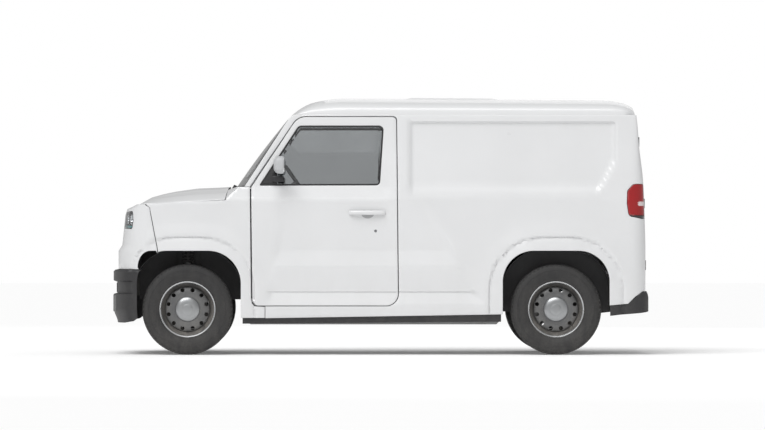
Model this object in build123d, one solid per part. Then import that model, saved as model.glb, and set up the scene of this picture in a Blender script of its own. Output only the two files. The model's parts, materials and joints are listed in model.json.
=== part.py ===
from build123d import *
import os
from math import atan2, cos, degrees, radians, sin

# Small electric delivery van. Millimetres. The front is at -X, the vehicle's left (driver's) side
# at -Y, and +Z is up. The origin is on the ground, under the middle of the overall length.

# ---- driving dimensions ----
WHEELBASE = 2630.0
FRONT_OVERHANG = 537.0          # front axle to the front bumper's nose
REAR_OVERHANG = 663.0           # rear axle to the rear bumper's tip
BODY_WIDTH = 1624.0
ROOF_HEIGHT = 1840.0
ROOF_RIB_RISE = 10.0
BELT_HEIGHT = 1198.0
SILL_HEIGHT = 262.0
TYRE_RADIUS = 325.0
TYRE_WIDTH = 185.0
WHEEL_INSET = 122.0             # from the body's widest point in to a wheel's centre plane
RIM_SEAT_RADIUS = 178.0
RIM_FLANGE_RADIUS = 197.0
ARCH_HALF_WIDTH = 381.0
ARCH_RISE = 418.0               # above the axle
ARCH_CORNER_RADIUS = 290.0
DOOR_SETBACK = 462.0            # front axle to the front door's leading edge
DOOR_LENGTH = 1041.0
DOOR_BOTTOM = 350.0
CARGO_FLOOR_HEIGHT = 600.0
CABIN_FLOOR_HEIGHT = 400.0

# ---- walls, gaps and clearances ----
SKIN = 4.0
BODY_WALL = 40.0
ROOF_WALL = 25.0
DOOR_DEPTH = 64.0
DOOR_STEP = 8.0                 # the inner box of a door is this much smaller all round
DOOR_BOX_WALL = 8.0
TRIM_DEPTH = 18.0
REAR_DOOR_DEPTH = 36.0
PANEL_GAP = 5.0
REAR_DOOR_GAP = 6.0
RUNNING_GAP = 0.6
GLASS = 5.0
GLASS_INSET = 24.0
GLASS_OVERLAP = 8.0             # the glass reaches this far past its opening
LINER_GAP = 5.0
LINER = 3.0
AXLE_STUB_RADIUS = 30.0

# ---- places worked out from the driving dimensions ----
LENGTH = FRONT_OVERHANG + WHEELBASE + REAR_OVERHANG
NOSE_X = -LENGTH / 2
TAIL_X = LENGTH / 2
FRONT_AXLE_X = NOSE_X + FRONT_OVERHANG
REAR_AXLE_X = FRONT_AXLE_X + WHEELBASE
HALF_WIDTH = BODY_WIDTH / 2
WHEEL_Y = HALF_WIDTH - WHEEL_INSET
WHEEL_INNER_Y = WHEEL_Y - TYRE_WIDTH / 2
AXLE_Z = TYRE_RADIUS
GUTTER_Z = ROOF_HEIGHT - 126.0
HEADER_Z = ROOF_HEIGHT - 157.0
FACE_X = NOSE_X + 36.0
REAR_FACE_X = TAIL_X - 22.0
DOOR_X0 = FRONT_AXLE_X + DOOR_SETBACK
DOOR_X1 = DOOR_X0 + DOOR_LENGTH
DOOR_TOP = GUTTER_Z - 6.0
COWL_X = DOOR_X0 - 115.0
PILLAR_FOOT_X = DOOR_X0 - 54.0
PILLAR_TOP_X = PILLAR_FOOT_X + 317.0
BONNET_REAR_X = COWL_X - 44.0
BONNET_EDGE_Z = BELT_HEIGHT - 93.0
BUMPER_TOP = 606.0
FIREWALL_X = DOOR_X0 - 70.0
BULKHEAD_X = DOOR_X1 + 24.0
WINDOW_TOP = DOOR_TOP - 71.0
FAR = 6000.0


def box(x, y, z):
    """A block between two corners, given as (low, high) along each axis."""
    size = [pair[1] - pair[0] for pair in (x, y, z)]
    middle = [(pair[0] + pair[1]) / 2 for pair in (x, y, z)]
    return Pos(*middle) * Box(*size)


def outline(points):
    """A face from corners, each (a, b) or (a, b, corner radius)."""
    corners = [point[:2] for point in points]
    radii = [point[2] if len(point) > 2 else 0 for point in points]
    if any(radii):
        return make_face(FilletPolyline(*corners, radius=radii, close=True))
    return make_face(Polyline(*corners, close=True))


def prism_x(face, x_low, x_high):
    """Extrude a (y, z) face along the vehicle."""
    plane = Plane(origin=(x_low, 0, 0), x_dir=(0, 1, 0), z_dir=(1, 0, 0))
    return extrude(plane * face, amount=x_high - x_low, dir=(1, 0, 0))


def prism_y(face, y_low, y_high):
    """Extrude an (x, z) face across the vehicle."""
    plane = Plane(origin=(0, y_low, 0), x_dir=(1, 0, 0), z_dir=(0, -1, 0))
    return extrude(plane * face, amount=y_high - y_low, dir=(0, 1, 0))


def prism_z(face, z_low, z_high):
    """Extrude an (x, y) face upwards."""
    return extrude(Pos(0, 0, z_low) * face, amount=z_high - z_low, dir=(0, 0, 1))


def rod(start, end, radius):
    """A round bar between two points."""
    axis = Vector(*end) - Vector(*start)
    face = Plane(origin=start, z_dir=axis) * Circle(radius)
    return extrude(face, amount=axis.length, dir=axis)


def tube(start, end, radius, bore):
    """A round tube between two points, open at both ends."""
    return rod(start, end, radius) - rod(start, end, bore)


def mirrored(shape):
    """The same piece on the vehicle's other side."""
    return mirror(shape, about=Plane.XZ)


def both_sides(shape):
    """A piece and its mirror image."""
    return shape + mirrored(shape)


def save(name, shape):
    """Write one piece, or one group of separate pieces."""
    solids = shape.solids()
    solids = [solid for solid in solids if solid.volume > 50]
    piece = solids[0] if len(solids) == 1 else Compound(children=solids)
    export_step(piece, "parts/" + name + ".step")


# ---- the body's outer form ----
def side_face():
    """The body's outline from the side, without the bumpers."""
    return outline([
        (FACE_X + 34, SILL_HEIGHT),
        (FACE_X, BUMPER_TOP - 20),
        (FACE_X, BUMPER_TOP + 135, 20),
        (FACE_X + 31, BUMPER_TOP + 184, 20),
        (FACE_X + 50, BELT_HEIGHT - 198, 60),
        (FACE_X + 78, BELT_HEIGHT - 145, 30),
        (FACE_X + 239, BELT_HEIGHT - 76, 200),
        (FACE_X + 479, BELT_HEIGHT - 18, 500),
        (COWL_X, BELT_HEIGHT + 11),
        (PILLAR_FOOT_X, BELT_HEIGHT),
        (PILLAR_TOP_X, HEADER_Z, 200),
        (PILLAR_TOP_X + 150, ROOF_HEIGHT - 38, 200),
        (PILLAR_TOP_X + 350, ROOF_HEIGHT, 500),
        (REAR_AXLE_X - 100, ROOF_HEIGHT),
        (REAR_FACE_X - 160, ROOF_HEIGHT - 26, 100),
        (REAR_FACE_X - 76, ROOF_HEIGHT - 66, 30),
        (REAR_FACE_X - 44, HEADER_Z - 214),
        (REAR_FACE_X - 14, BELT_HEIGHT + 14),
        (REAR_FACE_X, DOOR_BOTTOM + 434),
        (REAR_FACE_X - 4, SILL_HEIGHT),
    ])


def section_points(front):
    """Half of the body's cross-section as (y, z), from the sill up to the centre line."""
    lower = [
        (HALF_WIDTH - 17, SILL_HEIGHT),
        (HALF_WIDTH - 7, DOOR_BOTTOM + 7),
        (HALF_WIDTH - 22, DOOR_BOTTOM + 99),
        (HALF_WIDTH, DOOR_BOTTOM + 270),
        (HALF_WIDTH - 20, DOOR_BOTTOM + 400),
        (HALF_WIDTH - 9, BONNET_EDGE_Z),
    ]
    if front:
        return lower + [
            (HALF_WIDTH - 52, BONNET_EDGE_Z + 22),
            (HALF_WIDTH - 200, BONNET_EDGE_Z + 60),
            (HALF_WIDTH - 460, BONNET_EDGE_Z + 92),
            (0, BONNET_EDGE_Z + 108),
        ]
    return lower + [
        (HALF_WIDTH - 42, BELT_HEIGHT),
        (HALF_WIDTH - 87, GUTTER_Z),
        (HALF_WIDTH - 102, GUTTER_Z + 56, 30),
        (HALF_WIDTH - 180, ROOF_HEIGHT - 24, 60),
        (0, ROOF_HEIGHT),
    ]


def section_face(front):
    """The whole cross-section."""
    half = section_points(front)
    other = [(-point[0],) + point[1:] for point in reversed(half[:-1])]
    return outline(half + other)


def plan_face(grow=0.0):
    """The body's outline from above, let out by grow."""
    side = HALF_WIDTH + grow
    half = [
        (REAR_FACE_X + grow, side, 110),
        (FACE_X + 250, side, 200),
        (FACE_X + 50 - grow, side - 90, 90),
        (FACE_X - grow, side - 250, 250),
    ]
    other = [(x, -y, radius) for x, y, radius in reversed(half)]
    return outline(half + other)


def body_form(inset, front=False):
    """The body as one solid, drawn in by inset on every face but the bottom."""
    side = side_face()
    section = section_face(front)
    plan = plan_face()
    if inset:
        side = offset(side, -inset, kind=Kind.INTERSECTION)
        section = offset(section, -inset, kind=Kind.INTERSECTION)
        plan = offset(plan, -inset, kind=Kind.INTERSECTION)
    solid = prism_y(side, -HALF_WIDTH, HALF_WIDTH) & prism_x(section, NOSE_X, TAIL_X)
    return solid & prism_z(plan, 0, ROOF_HEIGHT)


OUTER = body_form(0)
OUTER_FRONT = body_form(0, front=True)


def skin(depth, start=0.0, front=False):
    """The layer of the body's form from start to depth below its surface."""
    outer = (OUTER_FRONT if front else OUTER) if start == 0 else body_form(start, front)
    return outer - body_form(depth, front)


def side_layer(depth, start=0.0):
    """As skin, but following the cross-section alone, for pieces that lie in the body's sides."""
    outer = offset(section_face(False), -start, kind=Kind.INTERSECTION) if start else section_face(False)
    inner = offset(section_face(False), -depth, kind=Kind.INTERSECTION)
    return prism_x(outer - inner, NOSE_X, TAIL_X)



# ---- openings and panel outlines, all (x, z) seen from the side ----
def arch_face(axle_x, grow=0.0):
    """A wheel arch's outline, let out by grow."""
    half = ARCH_HALF_WIDTH + grow
    top = AXLE_Z + ARCH_RISE + grow
    corner = ARCH_CORNER_RADIUS + grow
    return outline([
        (axle_x - half, 0),
        (axle_x - half, top, corner),
        (axle_x + half, top, corner),
        (axle_x + half, 0),
    ])


def door_face(shrink=0.0):
    """The front door's outline, drawn in by shrink."""
    face = outline([
        (DOOR_X0, DOOR_BOTTOM, 45),
        (DOOR_X1 + 10, DOOR_BOTTOM, 85),
        (DOOR_X1, DOOR_TOP, 30),
        (DOOR_X0 + 331, DOOR_TOP, 110),
        (DOOR_X0 - 9, BELT_HEIGHT - 3, 20),
    ])
    return offset(face, -shrink, kind=Kind.ARC) if shrink else face


def window_face(grow=0.0):
    """The front door's window opening, let out by grow."""
    face = outline([
        (DOOR_X0 + 176, BELT_HEIGHT + 7, 12),
        (DOOR_X1 - 129, BELT_HEIGHT + 18, 12),
        (DOOR_X1 - 101, WINDOW_TOP, 12),
        (DOOR_X0 + 324, WINDOW_TOP, 40),
        (DOOR_X0 + 171, BELT_HEIGHT + 209, 12),
    ])
    return offset(face, grow, kind=Kind.ARC) if grow else face


def bonnet_face():
    """The bonnet's side cut line, closed above the body."""
    return outline([
        (NOSE_X, BONNET_EDGE_Z - 48),
        (FACE_X + 192, BONNET_EDGE_Z - 28),
        (BONNET_REAR_X - 34, BONNET_EDGE_Z),
        (BONNET_REAR_X, BONNET_EDGE_Z + 37),
        (BONNET_REAR_X, ROOF_HEIGHT),
        (NOSE_X, ROOF_HEIGHT),
    ])


def fender_face():
    """A front fender, from the nose seam to the door and down to its sill end."""
    rear = DOOR_X0 - PANEL_GAP
    return outline([
        (FACE_X + 292, DOOR_BOTTOM + 399),
        (FACE_X + 235, BONNET_EDGE_Z - 32),
        (BONNET_REAR_X - 34, BONNET_EDGE_Z - PANEL_GAP),
        (COWL_X + 8, BELT_HEIGHT - 4),
        (rear - 9, BELT_HEIGHT - 4),
        (rear, DOOR_BOTTOM - PANEL_GAP),
        (DOOR_X0 + 90, DOOR_BOTTOM - PANEL_GAP),
        (DOOR_X0 + 90, SILL_HEIGHT),
        (FRONT_AXLE_X, SILL_HEIGHT),
        (FRONT_AXLE_X, DOOR_BOTTOM + 399),
    ])


def side_panel_face():
    """Everything behind the fender, up to the gutter and back to the rear bumper."""
    foot = PILLAR_FOOT_X + 4
    return outline([
        (DOOR_X0 + 92, SILL_HEIGHT),
        (REAR_AXLE_X, SILL_HEIGHT),
        (REAR_AXLE_X + ARCH_HALF_WIDTH, SILL_HEIGHT + 91),
        (REAR_FACE_X - 129, SILL_HEIGHT + 103),
        (REAR_FACE_X - 76, SILL_HEIGHT + 154),
        (REAR_FACE_X - 10, SILL_HEIGHT + 191),
        (TAIL_X, SILL_HEIGHT + 191),
        (TAIL_X, GUTTER_Z - 2),
        (PILLAR_TOP_X + 20, GUTTER_Z - 2),
        (foot, BELT_HEIGHT),
        (DOOR_X0 + 10, BELT_HEIGHT),
        (DOOR_X0 + 92, BELT_HEIGHT - 60),
    ])


def nose_face():
    """The nose panel, ahead of the fender seam and under the bonnet."""
    return outline([
        (NOSE_X, BUMPER_TOP + 4),
        (FACE_X + 200, BUMPER_TOP + 4),
        (FACE_X + 288, DOOR_BOTTOM + 399),
        (FACE_X + 231, BONNET_EDGE_Z - 32),
        (NOSE_X, BONNET_EDGE_Z - 53),
    ])


def front_bumper_face():
    """The front bumper from the side: an upright nose that is cut back below."""
    return outline([
        (NOSE_X, SILL_HEIGHT + 52),
        (NOSE_X, BUMPER_TOP, 8),
        (FACE_X + 175, BUMPER_TOP),
        (FACE_X + 140, SILL_HEIGHT - 34),
        (FACE_X + 50, SILL_HEIGHT - 34),
    ])


def rear_bumper_face():
    """The rear bumper from the side: it rises to the rear and ends in a short step."""
    arch = REAR_AXLE_X + ARCH_HALF_WIDTH + 4
    return outline([
        (arch, SILL_HEIGHT + 16),
        (arch, SILL_HEIGHT + 87),
        (REAR_FACE_X - 129, SILL_HEIGHT + 99),
        (REAR_FACE_X - 76, SILL_HEIGHT + 150),
        (REAR_FACE_X - 10, SILL_HEIGHT + 187, 8),
        (TAIL_X, SILL_HEIGHT + 130, 20),
        (TAIL_X - 12, SILL_HEIGHT + 50, 8),
        (REAR_FACE_X - 40, SILL_HEIGHT + 36),
    ])


def lamp_faces(shrink=0.0):
    """The head lamp as (y, z) and the tail lamp as (x, z), drawn in by shrink."""
    head = outline([
        (-HALF_WIDTH + 52 + shrink, BELT_HEIGHT - 303 + shrink, 50),
        (-HALF_WIDTH + 252 - shrink, BELT_HEIGHT - 303 + shrink, 50),
        (-HALF_WIDTH + 252 - shrink, BELT_HEIGHT - 167 - shrink, 50),
        (-HALF_WIDTH + 52 + shrink, BELT_HEIGHT - 167 - shrink, 50),
    ])
    tail = outline([
        (REAR_FACE_X - 135 + shrink, BELT_HEIGHT + 22 - shrink, 25),
        (REAR_FACE_X - 135 + shrink, BELT_HEIGHT - 150 + shrink, 60),
        (REAR_FACE_X - 60, BELT_HEIGHT - 226 + shrink),
        (TAIL_X, BELT_HEIGHT - 226 + shrink),
        (TAIL_X, BELT_HEIGHT + 22 - shrink),
    ])
    return head, tail


def rear_door_outline(grow=0.0):
    """The left rear door as (y, z), let out by grow at its outer edges."""
    edge = -HALF_WIDTH + 107
    return outline([
        (-REAR_DOOR_GAP / 2, SILL_HEIGHT + 193 - grow),
        (edge - grow, SILL_HEIGHT + 193 - grow, 30),
        (edge - grow, BELT_HEIGHT - 98),
        (edge + 50 - grow, HEADER_Z + 7 + grow, 40),
        (-REAR_DOOR_GAP / 2, HEADER_Z + 7 + grow),
    ])


# ---- body panels ----
THIN_SKIN = skin(SKIN)
THIN_FRONT = skin(SKIN, front=True)
THICK_SKIN = skin(BODY_WALL)
FRONT_ARCH = prism_y(arch_face(FRONT_AXLE_X), -HALF_WIDTH, HALF_WIDTH)
REAR_ARCH = prism_y(arch_face(REAR_AXLE_X), -HALF_WIDTH, HALF_WIDTH)


def left_slab(face, depth=135.0):
    """An (x, z) outline as a slab reaching inwards from the left side."""
    return prism_y(face, -HALF_WIDTH - 1, -HALF_WIDTH + depth)


def head_lamp_cut(shrink):
    """The space that a left head lamp takes out of the nose."""
    return prism_x(lamp_faces(shrink)[0], NOSE_X, FACE_X + 180)


def tail_lamp_cut(shrink):
    """The space that a left tail lamp takes out of the body side."""
    keep = box((0, TAIL_X), (-HALF_WIDTH, -HALF_WIDTH + 95 - shrink), (0, ROOF_HEIGHT))
    return left_slab(lamp_faces(shrink)[1]) & keep


def make_fender():
    """The left front wing, thin, without the wheel arch and the lamp."""
    panel = THIN_SKIN & left_slab(fender_face(), 120)
    panel = panel & box((NOSE_X, TAIL_X), (-FAR, 0), (SILL_HEIGHT + SKIN + 1, FAR))
    return panel - FRONT_ARCH


def make_nose_panel():
    """The panel between the bumper and the bonnet, with both lamp openings."""
    panel = THIN_FRONT & prism_y(nose_face(), -HALF_WIDTH, HALF_WIDTH)
    return panel - FRONT_ARCH - both_sides(head_lamp_cut(-1.5))


def make_bonnet():
    """The bonnet, from its front edge back to the wipers."""
    panel = skin(10, front=True) & prism_y(bonnet_face(), -HALF_WIDTH, HALF_WIDTH)
    return panel & box((NOSE_X, BONNET_REAR_X), (-FAR, FAR), (BONNET_EDGE_Z - 60, ROOF_HEIGHT))


def make_body_side():
    """The left side of the cargo body with the door opening, the pillars and the sill."""
    panel = THICK_SKIN & left_slab(side_panel_face())
    pillar = box(
        (FIREWALL_X, FIREWALL_X + 42),
        (-HALF_WIDTH + 30, -HALF_WIDTH + 110),
        (SILL_HEIGHT, BELT_HEIGHT - 60),
    )
    sill = box(
        (FIREWALL_X, DOOR_X0 + 100),
        (-HALF_WIDTH + 30, -HALF_WIDTH + 60),
        (SILL_HEIGHT, DOOR_BOTTOM - PANEL_GAP),
    )
    foot = box(
        (FIREWALL_X, DOOR_X0 - 14),
        (-HALF_WIDTH + 48, -HALF_WIDTH + 100),
        (BELT_HEIGHT - 70, BELT_HEIGHT + 12),
    )
    opening = left_slab(door_face(-PANEL_GAP))
    rear_opening = prism_x(rear_door_outline(PANEL_GAP), REAR_FACE_X - 120, TAIL_X)
    panel = panel - opening - REAR_ARCH - rear_opening - tail_lamp_cut(-1.5)
    return panel + pillar + sill + (foot - opening)


def make_roof():
    """The roof skin, its raised middle panel, and the headers over the windscreen and doors."""
    shell = skin(ROOF_WALL)
    dome = shell & box((NOSE_X, TAIL_X), (-FAR, FAR), (GUTTER_Z, FAR))
    half = HALF_WIDTH - 172
    headers = shell & (
        box((NOSE_X, PILLAR_TOP_X + 100), (-half, half), (HEADER_Z + 3, GUTTER_Z))
        + box((REAR_FACE_X - 130, TAIL_X), (-half, half), (HEADER_Z + 14, GUTTER_Z))
    )
    rib = box(
        (DOOR_X1 + 70, DOOR_X1 + 715),
        (-HALF_WIDTH / 2, HALF_WIDTH / 2),
        (ROOF_HEIGHT - 12, ROOF_HEIGHT + ROOF_RIB_RISE),
    )
    return dome + headers + fillet(rib.edges().filter_by(Axis.Z), 40)


def make_bumper(face, inset_wall=26.0):
    """A wrap-round plastic bumper, open behind."""
    wrap = prism_z(plan_face(36 if face is front_bumper_face else 22), 0, ROOF_HEIGHT)
    inner = prism_z(plan_face(-inset_wall), 0, ROOF_HEIGHT)
    band = prism_y(face(), -HALF_WIDTH - 40, HALF_WIDTH + 40)
    side = box((NOSE_X, TAIL_X), (-HALF_WIDTH, HALF_WIDTH), (0, ROOF_HEIGHT))
    return (wrap - inner) & band & side


def make_front_bumper():
    """The front bumper, cut back round both front wheels."""
    return make_bumper(front_bumper_face) - FRONT_ARCH


def make_windscreen():
    """Bowed glass, ahead of the pillars at its middle."""
    bulge = 55.0
    half = HALF_WIDTH - 96
    foot_z = BELT_HEIGHT + 10
    rise = HEADER_Z - 2 - foot_z
    slope = (PILLAR_TOP_X - PILLAR_FOOT_X) / (HEADER_Z - BELT_HEIGHT)
    foot_x = PILLAR_FOOT_X - 4
    arc = ThreePointArc((foot_x, -half), (foot_x - bulge, 0), (foot_x, half))
    back = ThreePointArc((foot_x + GLASS, half), (foot_x + GLASS - bulge, 0), (foot_x + GLASS, -half))
    ends = [Line((foot_x, half), (foot_x + GLASS, half)), Line((foot_x + GLASS, -half), (foot_x, -half))]
    face = make_face([arc, back] + ends)
    sheet = extrude(Pos(0, 0, foot_z) * face, amount=rise * (1 + slope ** 2) ** 0.5, dir=(slope, 0, 1))
    lean = outline([
        (-half, foot_z), (half, foot_z), (half - 40, HEADER_Z), (-half + 40, HEADER_Z),
    ])
    return sheet & prism_x(lean, NOSE_X, 0)


def make_lamps():
    """Both pairs of lamps, each pair as one piece."""
    depth = skin(34, front=True)
    head = depth & head_lamp_cut(0)
    tail = THICK_SKIN & tail_lamp_cut(0)
    return both_sides(head), both_sides(tail)


# ---- doors ----
def make_door():
    """The left door: outer skin, an inner box with a cavity for the glass, and the handle's cup."""
    surface = side_layer(6) & left_slab(door_face(PANEL_GAP / 2), 200)
    band = side_layer(DOOR_DEPTH, 5)
    ring = left_slab(door_face(DOOR_STEP + PANEL_GAP / 2), 200)
    hollow = left_slab(door_face(DOOR_STEP + DOOR_BOX_WALL + PANEL_GAP / 2), 200)
    frame = (band & ring) - (side_layer(DOOR_DEPTH - 5, 5) & hollow)
    cup = box(
        (DOOR_X1 - 264, DOOR_X1 - 171), (-HALF_WIDTH, -HALF_WIDTH + 40),
        (DOOR_BOTTOM + 626, DOOR_BOTTOM + 706),
    )
    recess = (side_layer(24) & offset_box(cup, 4)) - (side_layer(20) & cup)
    base = mirror_base()
    return surface + frame - left_slab(window_face(), 200) - (side_layer(20) & cup) + recess + base


def offset_box(shape, grow):
    """The bounding block of a shape, let out by grow."""
    low, high = shape.bounding_box().min, shape.bounding_box().max
    return box(
        (low.X - grow, high.X + grow), (low.Y - grow, high.Y + grow), (low.Z - grow, high.Z + grow),
    )


MIRROR_X = DOOR_X0 + 196
MIRROR_Y = -HALF_WIDTH + 10
MIRROR_Z = BELT_HEIGHT + 88


def mirror_base():
    """The bracket that carries the mirror, ahead of the window."""
    arm = box(
        (DOOR_X0 + 110, MIRROR_X + 20), (MIRROR_Y - 18, MIRROR_Y + 12), (MIRROR_Z - 33, MIRROR_Z),
    )
    root = box(
        (DOOR_X0 + 90, DOOR_X0 + 150), (MIRROR_Y, -HALF_WIDTH + 62), (MIRROR_Z - 33, MIRROR_Z),
    )
    return arm + root


def make_mirror():
    """The mirror's head on its pivot."""
    pivot = rod((MIRROR_X, MIRROR_Y, MIRROR_Z + RUNNING_GAP), (MIRROR_X, MIRROR_Y, MIRROR_Z + 8), 16)
    neck = box(
        (MIRROR_X - 22, MIRROR_X + 22), (MIRROR_Y - 60, MIRROR_Y + 8), (MIRROR_Z + 6, MIRROR_Z + 26),
    )
    head = box(
        (MIRROR_X - 46, MIRROR_X + 56), (MIRROR_Y - 190, MIRROR_Y - 25), (MIRROR_Z + 4, MIRROR_Z + 133),
    )
    return pivot + neck + fillet(head.edges(), 22)


def make_door_trim():
    """The door's inner lining, with an arm rest."""
    band = side_layer(DOOR_DEPTH + TRIM_DEPTH, DOOR_DEPTH + 0.5)
    lining = band & left_slab(door_face(DOOR_STEP + 24), 300)
    rest = box(
        (DOOR_X0 + 300, DOOR_X1 - 140),
        (-HALF_WIDTH + DOOR_DEPTH + 30, -HALF_WIDTH + DOOR_DEPTH + TRIM_DEPTH + 50),
        (DOOR_BOTTOM + 560, DOOR_BOTTOM + 610),
    )
    rest = fillet(rest.edges(), 12)
    return lining - left_slab(window_face(6), 300) + rest


def make_door_glass():
    """Flat glass that leans with the door and slides down inside it."""
    lean = degrees(atan2(45, GUTTER_Z - BELT_HEIGHT))
    top_y = -HALF_WIDTH + 42 + GLASS_INSET
    sheet = prism_y(window_face(GLASS_OVERLAP), top_y, top_y + GLASS)
    return sheet.rotate(Axis((0, top_y, BELT_HEIGHT), (1, 0, 0)), -lean)


HANDLE_Y = -HALF_WIDTH + 11
HANDLE_Z = DOOR_BOTTOM + 665


def make_door_handle():
    """A pull bar over a cup in the door."""
    bar = box(
        (DOOR_X1 - 348, DOOR_X1 - 96), (HANDLE_Y - 30, HANDLE_Y - 14), (HANDLE_Z - 14, HANDLE_Z + 14),
    )
    bar = fillet(bar.edges(), 6)
    feet = [
        box((x, x + 30), (HANDLE_Y - 22, HANDLE_Y - 3), (HANDLE_Z - 12, HANDLE_Z + 12))
        for x in (DOOR_X1 - 342, DOOR_X1 - 132)
    ]
    return bar + feet[0] + feet[1]


# ---- rear doors ----
def make_rear_door():
    """The left rear door, cut out of the rear face."""
    inner = body_form(REAR_DOOR_DEPTH)
    slab = prism_x(rear_door_outline(), REAR_FACE_X - 180, TAIL_X)
    return (OUTER - inner) & slab


def make_rear_handle():
    """A turning lever on the left door, beside the joint between the doors."""
    x = REAR_FACE_X - 4
    z = BELT_HEIGHT - 300
    plate = rod((x + RUNNING_GAP + 5, -60, z), (x + 12, -60, z), 18)
    lever = box((x + 8, x + 18), (-76, -44), (z - 100, z + 12))
    return plate + fillet(lever.edges().filter_by(Axis.X), 10)


# ---- floor, frame and power ----
def make_underbody():
    """Cabin floor, cargo floor, firewall and cowl, joined as one pressing."""
    half = HALF_WIDTH - 112
    cabin = box((FIREWALL_X, BULKHEAD_X), (-half, half), (CABIN_FLOOR_HEIGHT - 25, CABIN_FLOOR_HEIGHT))
    wall = box((FIREWALL_X, FIREWALL_X + 20), (-half, half), (CABIN_FLOOR_HEIGHT - 25, BELT_HEIGHT - 40))
    cowl = box((BONNET_REAR_X + 30, FIREWALL_X + 20), (-half, half), (BELT_HEIGHT - 40, BELT_HEIGHT - 22))
    step = box(
        (BULKHEAD_X - 20, BULKHEAD_X), (-half, half), (CABIN_FLOOR_HEIGHT - 25, CARGO_FLOOR_HEIGHT),
    )
    cargo = box(
        (BULKHEAD_X - 20, REAR_FACE_X - 60), (-HALF_WIDTH + 46, HALF_WIDTH - 46),
        (CARGO_FLOOR_HEIGHT - 25, CARGO_FLOOR_HEIGHT),
    ) & body_form(BODY_WALL + 1)
    wheel = ARCH_HALF_WIDTH + LINER_GAP + LINER + 2
    wells = both_sides(box(
        (REAR_AXLE_X - wheel, REAR_AXLE_X + wheel), (-HALF_WIDTH, -WHEEL_INNER_Y + 42),
        (0, CARGO_FLOOR_HEIGHT),
    ))
    column = rod(COLUMN_TOP, COLUMN_FOOT, 34)
    return cabin + wall + cowl + step + cargo - wells - column


RACK_X = FRONT_AXLE_X + 130
RACK_Z = AXLE_Z - 25
TOWER_Y = HALF_WIDTH - 285
TOWER_Z = AXLE_Z + 445
RAIL_Z = AXLE_Z + 135


def make_chassis():
    """Front and rear rails, cross-members, strut towers, rack housing and crash beam."""
    front_rail = box(
        (FACE_X + 95, FIREWALL_X), (-TOWER_Y + 130, -TOWER_Y + 190), (RAIL_Z - 40, RAIL_Z + 40),
    )
    tower = box(
        (FRONT_AXLE_X - 70, FRONT_AXLE_X + 70), (-TOWER_Y - 45, -TOWER_Y + 190),
        (TOWER_Z + 2, TOWER_Z + 14),
    )
    leg = box(
        (FRONT_AXLE_X - 60, FRONT_AXLE_X + 60), (-TOWER_Y + 130, -TOWER_Y + 150), (RAIL_Z, TOWER_Z + 8),
    )
    rear_rail = box(
        (DOOR_X1 + 700, REAR_FACE_X - 60), (-HALF_WIDTH + 320, -HALF_WIDTH + 380),
        (CARGO_FLOOR_HEIGHT - 125, CARGO_FLOOR_HEIGHT - 26),
    )
    side = front_rail + tower + leg
    beam = box((FACE_X + 75, FACE_X + 99), (-TOWER_Y - 20, TOWER_Y + 20), (RAIL_Z - 60, RAIL_Z + 60))
    cross = box(
        (FRONT_AXLE_X - 60, FRONT_AXLE_X + 60), (-TOWER_Y + 130, TOWER_Y - 130), (AXLE_Z - 95, AXLE_Z - 35),
    )
    hanger = box(
        (FRONT_AXLE_X - 40, FRONT_AXLE_X + 40), (-TOWER_Y + 130, -TOWER_Y + 160), (AXLE_Z - 60, RAIL_Z),
    )
    half = TOWER_Y - 168
    housing = tube((RACK_X, -half, RACK_Z), (RACK_X, half, RACK_Z), 26, 12 + RUNNING_GAP)
    mount = box(
        (FRONT_AXLE_X + 50, RACK_X - 20), (-200, 200), (AXLE_Z - 60, AXLE_Z - 35),
    ) + box((RACK_X - 24, RACK_X - 18), (-200, 200), (RACK_Z - 20, AXLE_Z - 35))
    rear_cross = box(
        (REAR_FACE_X - 260, REAR_FACE_X - 200), (-HALF_WIDTH + 330, HALF_WIDTH - 330),
        (CARGO_FLOOR_HEIGHT - 105, CARGO_FLOOR_HEIGHT - 35),
    ) + box(
        (DOOR_X1 + 710, DOOR_X1 + 770), (-HALF_WIDTH + 330, HALF_WIDTH - 330),
        (CARGO_FLOOR_HEIGHT - 105, CARGO_FLOOR_HEIGHT - 35),
    )
    front = both_sides(side + hanger) + beam + cross + housing + mount
    return front + both_sides(rear_rail) + rear_cross


def make_battery():
    """The pack under the cabin, with stiffening ribs below."""
    half = WHEEL_INNER_Y - 10
    case = box((DOOR_X0 - 34, REAR_AXLE_X - ARCH_HALF_WIDTH - 20), (-half, half),
               (SILL_HEIGHT - 47, CABIN_FLOOR_HEIGHT - 28))
    return chamfer(case.edges().filter_by(Axis.Y), 20)


def make_bulkhead():
    """The wall between the cabin and the cargo space."""
    wall = body_form(BODY_WALL + 4) & box((BULKHEAD_X + 10, BULKHEAD_X + 18), (-FAR, FAR),
                                          (CARGO_FLOOR_HEIGHT + 0.5, GUTTER_Z + 30))
    return wall


def make_arch_liner(axle_x, inner_y, x_low, x_high, z_low):
    """A thin curved shell round a wheel, closed on its inner side."""
    outer = prism_y(arch_face(axle_x, LINER_GAP + LINER), -HALF_WIDTH + 72, -inner_y)
    inner = prism_y(arch_face(axle_x, LINER_GAP), -HALF_WIDTH + 70, -inner_y - LINER)
    shell = outer - inner
    return shell & box((x_low, x_high), (-FAR, FAR), (z_low, FAR))


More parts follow.
